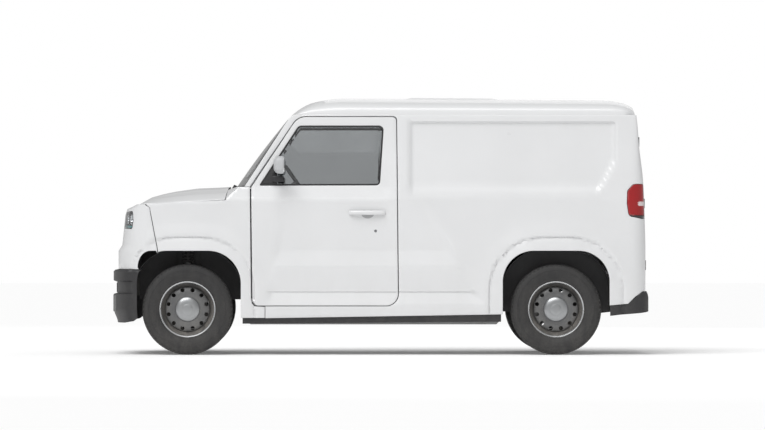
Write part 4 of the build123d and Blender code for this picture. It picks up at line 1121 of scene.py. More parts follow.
@dataclass
class Ends:
    """The nose, the bumpers, the bonnet, the roof, the screen and the rear doors."""

    front_centre: float = BODY.front_start - BODY.front_arc - (BODY.half_width - BODY.front_turn)
    rear_centre: float = BODY.rear_start + BODY.rear_arc + (BODY.half_width - BODY.rear_turn)

    def build(self) -> None:
        """Makes each end piece and dresses it."""
        dress(self.nose(), "white_paint", "van_body", "nose_panel")
        self.front_bumper()
        self.rear_bumper()
        dress(self.bonnet(), "white_paint", "bonnet", "bonnet")
        dress(self.roof(), "roof_paint", "van_body", "roof_panel")
        self.screen()
        self.rear_doors()
        dress(self.cowl(), "black_plastic", "van_body")
        for make, finish in ((self.scuttle, "white_paint"), (self.inner_wing, "frame_black")):
            left = make()
            right = mirrored(left, left.name.replace("_left", "_right"))
            dress(left, finish, "van_body")
            dress(right, finish, "van_body")

    def front(self, proud: Callable[[float, float], float]) -> tuple[Surface, Surface]:
        """The front skin moved out by a rule, and its inward direction, over both sides.

        Args:
            proud: how far the surface stands out at a distance round the body and a height.

        Returns:
            The surface and the inward direction.
        """
        def surface(s: float, z: float) -> Vector:
            """A point of the moved front."""
            def left(t: float, height: float) -> Vector:
                """A point of its left half."""
                return BODY.skin(t, max(height, 0.62)) - BODY.inward(t, height) * proud(t, height)
            point = whole(s, self.front_centre, left, z)
            point.z = z
            return point

        def inward(s: float, z: float) -> Vector:
            """The level direction into the front."""
            return whole(s, self.front_centre, BODY.inward, z)
        return surface, inward

    def across(self, half: Sequence[Point2], centre: float) -> list[Point2]:
        """A left outline and its mirror image as one, for an outline that starts and ends at the centre."""
        return list(half) + [(2 * centre - s, z) for s, z in reversed(half)]

    def nose(self) -> bpy.types.Object:
        """The painted panel between the bumper and the bonnet, with the head lamps' openings.

        Returns:
            The nose panel as an object.
        """
        def surface(s: float, z: float) -> Vector:
            """A point of the nose with its pressed grille band."""
            point = whole(s, self.front_centre, BODY.skin, z)
            dish = 0.010 * step(z, 0.700, 0.725) * (1 - step(z, 0.845, 0.870))
            reach = 0.40 - abs(s - self.front_centre)
            return point + Vector((dish * step(reach, 0.0, 0.025), 0, 0))
        centre = self.front_centre
        arch = [p for p in arch_edge(BODY.front_axle, 0.0, 0.5) if p[0] < -1.588 and p[1] > 0.611]
        half = [(s, 0.6105) for s in (-2.3, -2.1, -1.9, -1.75)] + list(reversed(arch))
        half += [(-1.5905, 0.7215), (-1.5945, 0.760), (-1.6500, 1.0500), (-1.700, 1.0725)]
        half += [(-1.9, 1.0745), (-2.2, 1.0750)]
        outline = resampled(self.across(half, centre), 0.02)
        lamp = self.head_lamp_outline(0.0015)
        other = [(2 * centre - s, z) for s, z in lamp]
        inward = self.front(lambda s, z: 0.0)[1]
        return Panel("nose_panel", outline, surface, inward, 0.004, [lamp, other], 0.022,
                     (0.656, 0.700, 0.725, 0.741, 0.784, 0.845, 0.870, 1.0, 1.041), (), (), 0.003).build()

    @staticmethod
    def head_lamp_outline(grow: float) -> list[Point2]:
        """The left head lamp as seen along the skin, let out by grow."""
        corners = [(-2.085, 0.905, 0.030), (-1.840, 0.899, 0.020), (-1.828, 0.960, 0.020),
                   (-1.842, 1.027, 0.030), (-2.060, 1.012, 0.040)]
        return drawn_in(rounded(corners, 0.012), -grow)

    def front_bumper(self) -> None:
        """The bumper, its dark groove and its light insert."""
        centre = self.front_centre

        def proud(s: float, z: float) -> float:
            """How far the bumper stands out of the skin."""
            round_front = step(-s, 1.66, 1.90)
            lip = 0.010 * step(z, 0.594, 0.606)
            low = 0.030 * step(-z, -0.330, -0.228)
            groove = 0.026 * step(z, 0.433, 0.441) * (1 - step(z, 0.520, 0.530)) * step(-s, 1.78, 1.84)
            return round_front * 0.036 - lip - low * (0.4 + 0.6 * round_front) - groove
        surface, inward = self.front(proud)
        side = [p for p in arch_edge(BODY.front_axle, 0.0, 0.262) if p[0] < -1.70 and p[1] < 0.604]
        half = [(-2.4, 0.2285), (-1.9, 0.2285), (-1.80, 0.240)] + [
            (s, z) for s, z in reversed(side)] + [(-1.718, 0.6065), (-1.9, 0.6065), (-2.4, 0.6065)]
        outline = resampled(self.across(half, centre), 0.02)
        rows = (0.26, 0.29, 0.330, 0.433, 0.441, 0.520, 0.530, 0.594, 0.600)
        body = Panel("front_bumper", outline, surface, inward, 0.005, (), 0.024, rows, (), (), 0.003).build()
        dress(body, "black_plastic", "van_body", "front_bumper")
        strip = self.band(centre, 0.52, (0.446, 0.514), 0.014, 0.010, "front_bumper_groove")
        dress(strip, "black_plastic", "van_body")
        insert = self.band(centre, 0.60, (0.307, 0.428), 0.0385, 0.006, "front_bumper_insert")
        dress(insert, "bumper_insert", "van_body")

    def band(self, centre: float, reach: float, heights: Point2, proud: float, depth: float,
             name: str) -> bpy.types.Object:
        """A level strip laid on the front of the bumper."""
        surface, inward = self.front(lambda s, z: proud)
        low, high = heights
        outline = rounded([(centre - reach, low, 0.02), (centre + reach, low, 0.02),
                           (centre + reach, high, 0.02), (centre - reach, high, 0.02)], 0.02)
        return Panel(name, outline, surface, inward, depth, (), 0.024, radius=0.003).build()

    def rear_bumper(self) -> None:
        """The low bumper across the rear, with its black step pad."""
        centre = self.rear_centre

        def surface(s: float, z: float) -> Vector:
            """A point of the bumper."""
            def left(t: float, height: float) -> Vector:
                """A point of its left half."""
                out = 0.022 * step(t, 1.80, 1.93) * (1 - 0.5 * hump(height, 0.452, 0.02))
                return BODY.skin(t, max(height, 0.40)) - BODY.inward(t, height) * out
            point = whole(s, centre, left, z)
            point.z = z
            return point

        def inward(s: float, z: float) -> Vector:
            """The level direction into the rear."""
            return whole(s, centre, BODY.inward, z)
        half = [(2.4, 0.310), (1.94, 0.309), (1.853, 0.298), (1.713, 0.287), (1.6365, 0.278),
                (1.6365, 0.349), (1.764, 0.3605), (1.817, 0.4115), (1.883, 0.4485), (2.4, 0.4485)]
        outline = resampled(self.across(half, centre), 0.02)
        bumper = Panel("rear_bumper", outline, surface, inward, 0.005, (), 0.024, radius=0.003).build()
        dress(bumper, "black_plastic", "van_body", "rear_bumper")
        pad = block("rear_step_pad", (1.845, -0.66, 0.4495), (1.905, 0.66, 0.4535), 0.0015)
        dress(pad, "black_plastic", "van_body")

    def bonnet(self) -> bpy.types.Object:
        """The bonnet, crowned across and falling to its front edge.

        Returns:
            The bonnet as an object.
        """
        def edge_half(x: float) -> float:
            """Half the bonnet's width at a place along it."""
            back = min(max((-1.640 - x) / 0.239, 0.0), 1.0)
            return 0.800 - 0.340 * (1 - math.sqrt(1 - back * back))

        def surface(x: float, y: float) -> Vector:
            """A point of the bonnet."""
            crown = float(np.interp(x, (-1.745, -1.715, -1.680, -1.644, -1.560, -1.473, -1.316, -1.145, -1.07),
                                    (1.066, 1.084, 1.106, 1.127, 1.151, 1.169, 1.191, 1.198, 1.203)))
            edge = float(np.interp(x, (-1.745, -1.687, -1.109, -1.07), (1.066, 1.079, 1.107, 1.125)))
            share = min(abs(y) / edge_half(x), 1.0)
            press = 0.004 * step(abs(y), 0.50, 0.53) * (1 - step(abs(y), 0.60, 0.66)) * step(x, -1.66, -1.5)
            return Vector((x, y, crown - (crown - edge) * share ** 3.6 - press))
        line = [BODY.skin(s, 1.077) for s in np.linspace(-1.715, self.front_centre, 24)]
        half_front = [(p.x + 0.0035, p.y + 0.004) for p in line]
        front = half_front + [(x, -y) for x, y in reversed(half_front[:-1])]
        right = [(-1.66, 0.8000), (-1.60, 0.7995), (-1.35, 0.7985), (-1.112, 0.790)]
        rear = [(-1.078 - 0.030 * (abs(y) / 0.78) ** 2, y) for y in np.linspace(0.775, -0.775, 31)]
        outline = front + right + rear + [(x, -y) for x, y in reversed(right)]
        return Panel("bonnet", resampled(outline, 0.022), surface, lambda x, y: Vector((0, 0, -1)), 0.005, (),
                     0.022, (-0.66, -0.60, -0.53, -0.50, 0.50, 0.53, 0.60, 0.66),
                     (-1.715, -1.68, -1.644, -1.56), (), 0.004).build()

    def roof(self) -> bpy.types.Object:
        """The high roof: full over its width, falling to its front, its back and its gutters.

        Returns:
            The roof as an object.
        """
        power = 2 / 3.2

        def surface(x: float, turn: float) -> Vector:
            """A point of the roof at a place along it and a turn about its length.

            Args:
                x: the place along the roof.
                turn: the turn about its length.

            Returns:
                The point.
            """
            crown = float(np.interp(
                x, (-0.667, -0.631, -0.600, -0.574, -0.535, -0.496, -0.440, -0.374, -0.280, 1.60, 1.679, 1.751,
                    1.790, 1.808, 1.822),
                (1.684, 1.725, 1.750, 1.768, 1.790, 1.807, 1.820, 1.832, 1.840, 1.826, 1.822, 1.804,
                 1.788, 1.775, 1.718)))
            base = float(np.interp(x, (-0.667, -0.62, 1.80, 1.822), (1.684, 1.716, 1.716, 1.706)))
            wide = float(np.interp(x, (-0.667, -0.50, -0.2), (0.706, 0.719, 0.7245)))
            wide -= 0.05 * step(x, 1.74, 1.83)
            y = wide * math.copysign(abs(math.sin(turn)) ** power, turn)
            z = base + (crown - base) * max(math.cos(turn), 0.0) ** power
            rib = step(x, 0.185, 0.225) * (1 - step(x, 0.810, 0.850)) * (1 - step(abs(y), 0.375, 0.410))
            bow = 0.045 * (abs(y) / 0.72) ** 2 * (1 - step(x, -0.667, -0.30))
            return Vector((x + bow * 0.6, y, z + 0.009 * rib))
        limit = math.pi / 2
        outline = resampled([(-0.667, -limit), (1.822, -limit), (1.822, limit), (-0.667, limit)], 0.03)
        return Panel("roof_panel", outline, surface, lambda x, t: Vector((0, 0, -1)), 0.006, (), 0.03,
                     (-1.52, -1.47, -1.40, 1.40, 1.47, 1.52), (-0.631, -0.574, -0.535, 0.185, 0.225, 0.81, 0.85,
                      1.751, 1.79, 1.808), (), 0.001, 50.0).build()

    def screen(self) -> None:
        """The bowed windscreen: a black printed border and the clear middle."""
        def surface(u: float, v: float) -> Vector:
            """A point of the screen."""
            half = 0.716 + (0.672 - 0.716) * v
            bulge = 0.066 + (0.016 - 0.066) * v
            rise = 0.010 * math.sin(math.pi * v)
            x = -0.970 + (0.970 - 0.655) * v - bulge * (1 - u ** 2) - rise
            return Vector((x, u * half, 1.200 + 0.483 * v))

        def inward(u: float, v: float) -> Vector:
            """The direction into the cab."""
            return Vector((0.84, 0.0, -0.54))
        outer = [(-1.0, 0.0), (1.0, 0.0), (1.0, 1.0), (-1.0, 1.0)]
        clear = rounded([(-0.90, 0.12, 0.05), (0.90, 0.12, 0.05), (0.905, 0.915, 0.05), (-0.905, 0.915, 0.05)], 0.06)
        border = Panel("windscreen_border", resampled(outer, 0.05), surface, inward, 0.005, [clear], 0.05,
                       radius=0.001).build()
        glass = Panel("windscreen", clear, surface, inward, 0.005, (), 0.06, radius=0.0005).build()
        dress(border, "gloss_black", "van_body")
        dress(glass, "screen_glass", "van_body", "windscreen")

    def rear_doors(self) -> None:
        """Two pressed rear doors that meet at the centre."""
        start, centre = BODY.rear_start + BODY.rear_arc, self.rear_centre

        def surface(s: float, z: float) -> Vector:
            """A point of the left door with its two pressed fields."""
            y = centre - s
            dish = 0.0
            for low, high in ((0.60, 0.93), (1.02, 1.60)):
                tall = step(z, low, low + 0.03) * (1 - step(z, high - 0.03, high))
                dish = max(dish, tall * step(y, 0.090, 0.115) * (1 - step(y, 0.595, 0.620)))
            return BODY.skin(s, z) + Vector((-0.009 * dish, 0, 0))
        outline = rounded([(start + 0.004, 0.457, 0.020), (centre - 0.003, 0.457, 0.006),
                           (centre - 0.003, 1.688, 0.006), (start + 0.004, 1.688, 0.040)])
        rows = (0.60, 0.63, 0.90, 0.93, 1.02, 1.05, 1.57, 1.60)
        columns = tuple(centre - y for y in (0.620, 0.595, 0.115, 0.090))
        left = Panel("rear_door_left", outline, surface, BODY.inward, 0.035, (), 0.024, rows, columns, (),
                     0.004).build()
        right = mirrored(left, "rear_door_right")
        dress(left, "white_paint", "rear_door_left", "rear_door_left")
        dress(right, "white_paint", "rear_door_right", "rear_door_right")

    def cowl(self) -> bpy.types.Object:
        """The black panel between the bonnet and the screen."""
        def surface(x: float, y: float) -> Vector:
            """A point of the cowl."""
            return Vector((x - 0.030 * (abs(y) / 0.74) ** 2 + 0.055 * (y / 0.74) ** 2, y,
                           1.188 - 0.060 * (abs(y) / 0.78) ** 3))
        outline = resampled([(-1.0735, -0.735), (-1.020, -0.735), (-1.020, 0.735), (-1.0735, 0.735)], 0.03)
        return Panel("cowl_panel", outline, surface, lambda x, y: Vector((0, 0, -1)), 0.004, (), 0.03,
                     radius=0.002).build()

    @staticmethod
    def scuttle() -> bpy.types.Object:
        """The painted corner between the bonnet, the wing and the screen.

        Returns:
            The left corner piece as an object.
        """
        def surface(x: float, y: float) -> Vector:
            """A point of the corner."""
            edge = float(np.interp(x, (-1.109, -1.026), (BODY.belt, 1.1975)))
            share = min(abs(y) / 0.797, 1.0)
            return Vector((x, y, 1.2035 - (1.2035 - edge) * share ** 3.6))
        rear_line = [(-1.0735 - 0.030 * (y / 0.78) ** 2, -y) for y in np.linspace(0.580, 0.775, 9)]
        outline = rear_line + [(-1.104, -0.7935), (-1.028, -0.7800), (-0.992, -0.735), (-0.999, -0.660),
                               (-1.012, -0.580)]
        return Panel("scuttle_left", resampled(outline, 0.02), surface, lambda x, y: Vector((0, 0, -1)), 0.004,
                     (), 0.02, radius=0.002).build()

    @staticmethod
    def inner_wing() -> bpy.types.Object:
        """The dark ribbed sheet between the wheel and the front compartment."""
        def surface(x: float, z: float) -> Vector:
            """A point of the sheet with its upright ribs."""
            return Vector((x, -0.400 - 0.006 * max(0.0, math.sin(x * 70.0)) ** 4, z))
        outline = rounded([(-1.800, 0.480, 0.03), (-1.020, 0.480, 0.03), (-1.020, 1.050, 0.06), (-1.700, 1.030, 0.08),
                           (-1.800, 0.960, 0.04)], 0.03)
        return Panel("inner_wing_left", outline, surface, lambda x, z: Vector((0, 1, 0)), 0.004, (), 0.015,
                     radius=0.002).build()


def radial_tree(name: str, material: bpy.types.Material) -> bpy.types.NodeTree:
    """A Geometry Nodes tree that repeats a small block round the Y axis.

    Args:
        name: the tree's name.
        material: what the blocks are made of.

    Returns:
        The tree, with inputs for the count, the radius, the block's size and the start angle.
    """
    tree = bpy.data.node_groups.new(name, "GeometryNodeTree")
    tree.interface.new_socket("Geometry", in_out="INPUT", socket_type="NodeSocketGeometry")
    for label, kind in (("Count", "NodeSocketInt"), ("Radius", FLOAT), ("Block", VECTOR), ("Start", FLOAT)):
        tree.interface.new_socket(label, in_out="INPUT", socket_type=kind)
    tree.interface.new_socket("Geometry", in_out="OUTPUT", socket_type="NodeSocketGeometry")
    graph = Graph(tree)
    given, out = graph.add("NodeGroupInput"), graph.add("NodeGroupOutput")
    cube = graph.add("GeometryNodeMeshCube", {"Size": given.outputs["Block"]})
    line = graph.add("GeometryNodePoints", {"Count": given.outputs["Count"]})
    index = graph.add("GeometryNodeInputIndex")
    turn = graph.math("DIVIDE", graph.math("MULTIPLY", index.outputs[0], 2 * math.pi), given.outputs["Count"])
    angle = graph.math("ADD", turn, given.outputs["Start"])
    across = graph.math("MULTIPLY", graph.math("SINE", angle), given.outputs["Radius"])
    above = graph.math("MULTIPLY", graph.math("COSINE", angle), given.outputs["Radius"])
    place = graph.add("ShaderNodeCombineXYZ", {0: across, 2: above})
    lean = graph.add("ShaderNodeCombineXYZ", {1: angle})
    moved = graph.add("GeometryNodeSetPosition", {"Geometry": line.outputs[0], "Position": place.outputs[0]})
    spread = graph.add("GeometryNodeInstanceOnPoints", {
        "Points": moved.outputs[0], "Instance": cube.outputs[0], "Rotation": lean.outputs[0],
    })
    real = graph.add("GeometryNodeRealizeInstances", {"Geometry": spread.outputs[0]})
    dressed = graph.add("GeometryNodeSetMaterial", {"Geometry": real.outputs[0], "Material": material})
    tree.links.new(dressed.outputs[0], out.inputs["Geometry"])
    return tree


def radial(name: str, tree: bpy.types.NodeTree, centre: Vector, **sizes) -> bpy.types.Object:
    """The tree's result as a plain mesh, moved to a wheel's centre.

    Args:
        name: the object's name.
        tree: the Geometry Nodes tree.
        centre: where the wheel's centre is.
        sizes: the tree's inputs, by name.

    Returns:
        The plain mesh as an object.
    """
    carrier = bpy.data.objects.new(name, bpy.data.meshes.new(name))
    bpy.context.scene.collection.objects.link(carrier)
    modifier = carrier.modifiers.new("blocks", "NODES")
    modifier.node_group = tree
    for item in tree.interface.items_tree:
        if item.in_out == "INPUT" and item.name in sizes:
            modifier[item.identifier] = sizes[item.name]
    graph = bpy.context.evaluated_depsgraph_get()
    mesh = bpy.data.meshes.new_from_object(carrier.evaluated_get(graph))
    carrier.modifiers.remove(modifier)
    mesh.transform(Matrix.Translation(centre))
    carrier.data = mesh
    return carrier


@dataclass
class Wheel:
    """A steel wheel with its tyre and hub cap, made on the left and mirrored."""

    end: str
    hub: Point2
    radius: float = 0.325
    bore: float = 0.186
    face_y: float = -0.781
    back_y: float = -0.599
    holes: int = 12
    hole_circle: float = 0.140
    hole_radius: float = 0.0145
    disc_radius: float = 0.160
    lugs: int = 60

    @property
    def centre(self) -> Vector:
        """The hub's place in the vehicle's middle plane."""
        return Vector((self.hub[0], 0.0, self.hub[1]))

    def build(self, lug_tree: bpy.types.NodeTree) -> None:
        """Makes both wheels of this axle.

        Args:
            lug_tree: the Geometry Nodes tree of the shoulder's blocks.
        """
        for piece, finish, node in (
            (self.tyre(lug_tree), "tyre_rubber", "tyre"), (self.rim(), "wheel_steel", "rim"),
            (self.cap(), f"{self.end}_cap_metal", "hub_cap"),
        ):
            name = f"{self.end}_{node}_"
            piece.name = name + "left"
            right = mirrored(piece, name + "right")
            for obj, side in ((piece, "left"), (right, "right")):
                dress(obj, finish, f"{self.end}_wheel_{side}", name + side)

    def tyre(self, lug_tree: bpy.types.NodeTree) -> bpy.types.Object:
        """The tyre's carcass with its grooves, and the blocks of its shoulders.

        Args:
            lug_tree: the Geometry Nodes tree of the shoulder's blocks.

        Returns:
            The left tyre as an object.
        """
        half = (self.back_y - self.face_y) / 2
        middle = (self.back_y + self.face_y) / 2
        side = [(self.bore, -0.066), (0.200, -0.0745), (0.207, -0.0790), (0.2095, -0.0805), (0.212, -0.0795),
                (0.235, -0.0885), (0.255, -half), (0.272, -0.0902), (0.2735, -0.0885), (0.2755, -0.0885),
                (0.277, -0.0895), (0.292, -0.0870), (0.305, -0.0825), (0.316, -0.0755)]
        tread = [(0.3205, -0.0700), (0.3228, -0.0580)]
        for groove in (-0.040, 0.0, 0.040):
            tread += [(0.3240, groove - 0.0045), (0.3165, groove - 0.0035), (0.3165, groove + 0.0035),
                      (0.3240, groove + 0.0045)]
        tread += [(0.3228, 0.0580), (0.3205, 0.0700)]
        profile = side + tread + [(r, -y) for r, y in reversed(side)]
        parts = [turned("carcass", [(r, middle + y) for r, y in profile], self.centre, 128)]
        for y in (-0.0765, 0.0765):
            parts.append(radial("lugs", lug_tree, self.centre + Vector((0, middle + y, 0)), Count=self.lugs,
                                Radius=0.3135, Block=(0.0150, 0.013, 0.0075), Start=0.03 if y > 0 else 0.0))
        for part in parts:
            finished(part, "tyre_rubber")
        return joined("tyre", parts)

    def rim(self) -> bpy.types.Object:
        """The rolled rim, its pierced disc and the valve.

        Returns:
            The left rim as an object.
        """
        barrel = [(0.2005, -0.7640), (0.1985, -0.7675), (0.1950, -0.7665), (0.1900, -0.7590), (0.1780, -0.7480),
                  (0.1735, -0.7300), (0.1640, -0.7200), (0.1600, -0.7000), (0.1600, -0.6450), (0.1740, -0.6300),
                  (0.1880, -0.6200), (0.1960, -0.6130), (0.2005, -0.6150), (0.2000, -0.6210), (0.1840, -0.6300),
                  (0.1820, -0.6400), (0.1660, -0.6500), (0.1660, -0.6980), (0.1780, -0.7200), (0.1830, -0.7420),
                  (0.1850, -0.7520), (0.1970, -0.7600)]
        flange = turned("flange", barrel, self.centre, 112)
        finished(flange, "frame_black")
        flange.data.materials.append(MATERIALS["flange_steel"])
        for face in flange.data.polygons:
            reach = math.hypot(face.center.x - self.centre.x, face.center.z - self.centre.z)
            if reach > 0.1915 and face.center.y < -0.755:
                face.material_index = 1

        def surface(x: float, z: float) -> Vector:
            """A point of the disc's face."""
            reach = math.hypot(x, z)
            y = float(np.interp(reach, (0.0, 0.055, 0.068, 0.080, 0.110, 0.128, 0.150, 0.160),
                                (-0.722, -0.722, -0.724, -0.731, -0.7350, -0.7340, -0.7275, -0.7210)))
            return Vector((self.hub[0] + x, y, self.hub[1] + z))
        rim = self.ring(self.disc_radius, 96)
        holes = []
        for number in range(self.holes):
            angle = math.radians(15) + 2 * math.pi * number / self.holes
            holes.append(self.ring(self.hole_radius, 20, self.hole_circle * math.sin(angle),
                                   self.hole_circle * math.cos(angle)))
        disc = Panel("disc", rim, surface, lambda x, z: Vector((0, 1, 0)), 0.004, holes, 0.009,
                     radius=0.0018).build()
        finished(disc, "wheel_steel")
        valve = swept("valve", [(self.hub[0] + 0.118, -0.735, self.hub[1] - 0.118),
                                (self.hub[0] + 0.1175, -0.752, self.hub[1] - 0.1175)], 0.004, 10)
        finished(valve, "black_plastic")
        backing = turned("hub", [(0.0, -0.715), (0.062, -0.715), (0.066, -0.70), (0.066, -0.66), (0.0, -0.66)],
                         self.centre, 48)
        finished(backing, "cast_parts")
        return joined("rim", [flange, disc, valve, backing])

    @staticmethod
    def ring(radius: float, steps: int, x: float = 0.0, z: float = 0.0) -> list[Point2]:
        """A circle's points."""
        return [(x + radius * math.cos(2 * math.pi * k / steps), z + radius * math.sin(2 * math.pi * k / steps))
                for k in range(steps)]

    def cap(self) -> bpy.types.Object:
        """The domed cap with its pressed ring."""
        profile = [(0.0, -0.7540), (0.020, -0.7536), (0.036, -0.7525), (0.040, -0.7508), (0.044, -0.7512),
                   (0.060, -0.7490), (0.074, -0.7452), (0.083, -0.7400), (0.0885, -0.7345), (0.090, -0.7290),
                   (0.088, -0.7265), (0.080, -0.7265), (0.0, -0.7300)]
        return turned("cap", profile, self.centre, 96, smooth=50.0)


def coil(name: str, low: Vector, high: Vector, radius: float, wire: float, turns: float) -> bpy.types.Object:
    """A coil spring between two seats, with its end turns laid flat.

    Args:
        name: the object's name.
        low: the middle of the lower seat.
        high: the middle of the upper seat.
        radius: the coil's mean radius.
        wire: the wire's radius.
        turns: how many turns it has.

    Returns:
        The spring as an object.
    """
    axis = (high - low)
    side = Vector((1, 0, 0))
    other = axis.normalized().cross(side).normalized()
    steps = int(turns * 26)
    path = []
    for index in range(steps + 1):
        t = index / steps
        rise = min(max((t - 0.12) / 0.76, 0.0), 1.0) * 0.9 + 0.05
        angle = 2 * math.pi * turns * t
        path.append(low + axis * rise + side * radius * math.cos(angle) + other * radius * math.sin(angle))
    return swept(name, path, wire, 10)


@dataclass
class Springs:
    """The front and rear coil springs, which shorten with the wheels."""

    strut_foot: Vector = field(default_factory=lambda: Vector((-1.378, -0.557, 0.470)))
    strut_top: Vector = field(default_factory=lambda: Vector((-1.378, -0.527, 0.770)))
    rear_place: Vector = field(default_factory=lambda: Vector((1.252, -0.462, 0.0)))

    def build(self) -> None:
        """Makes all four springs and says what they stretch between."""
        axis = self.strut_top - self.strut_foot
        low, high = self.strut_foot + axis * 0.62, self.strut_top - axis * 0.08
        front = coil("front_spring_left", low, high, 0.036, 0.005, 4.5)
        self.stretch(front)
        low, high = self.rear_place + Vector((0, 0, 0.377)), self.rear_place + Vector((0, 0, 0.470))
        rear = coil("rear_spring_left", low, high, 0.042, 0.0055, 3.5)
        self.stretch(rear, "rear_springs")

    def stretch(self, left: bpy.types.Object,
                node: str = "") -> None:
        """Blends a spring between two bodies on both sides.

        Args:
            left: the left spring.
            node: the CAD node it stands for, with {} for the side.
        """
        right = mirrored(left, left.name.replace("_left", "_right"))
        for obj, side, sign in ((left, "left", 1), (right, "right", -1)):
            finished(obj, "spring_steel")
            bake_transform(obj)
            if node:
                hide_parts(node)


def soft_box(name: str, centre: Sequence, half: Sequence, power: float, rings: int = 24) -> bpy.types.Object:
    """A rounded block whose faces swell, as a superellipsoid.

    Args:
        name: the object's name.
        centre: the middle of the block.
        half: half its size on each axis.
        power: how square it is.
        rings: how many rings its mesh has.

    Returns:
        The block as an object.
    """
    vertices, faces = [], []
    sides = rings * 2

    def lifted(value: float) -> float:
        """A sine or cosine raised to flatten it."""
        return math.copysign(abs(value) ** (2 / power), value)
    for ring in range(1, rings):
        tilt = -math.pi / 2 + math.pi * ring / rings
        for k in range(sides):
            turn = 2 * math.pi * (k + 0.5) / sides
            vertices.append((centre[0] + half[0] * lifted(math.cos(tilt)) * lifted(math.cos(turn)),
                             centre[1] + half[1] * lifted(math.cos(tilt)) * lifted(math.sin(turn)),
                             centre[2] + half[2] * lifted(math.sin(tilt))))
    for ring in range(rings - 2):
        for k in range(sides):
            n = (k + 1) % sides
            faces.append((ring * sides + k, ring * sides + n, (ring + 1) * sides + n, (ring + 1) * sides + k))
    faces.append(tuple(reversed(range(sides))))
    faces.append(tuple(range((rings - 2) * sides, (rings - 1) * sides)))
    return new_object(name, vertices, faces, 60.0)


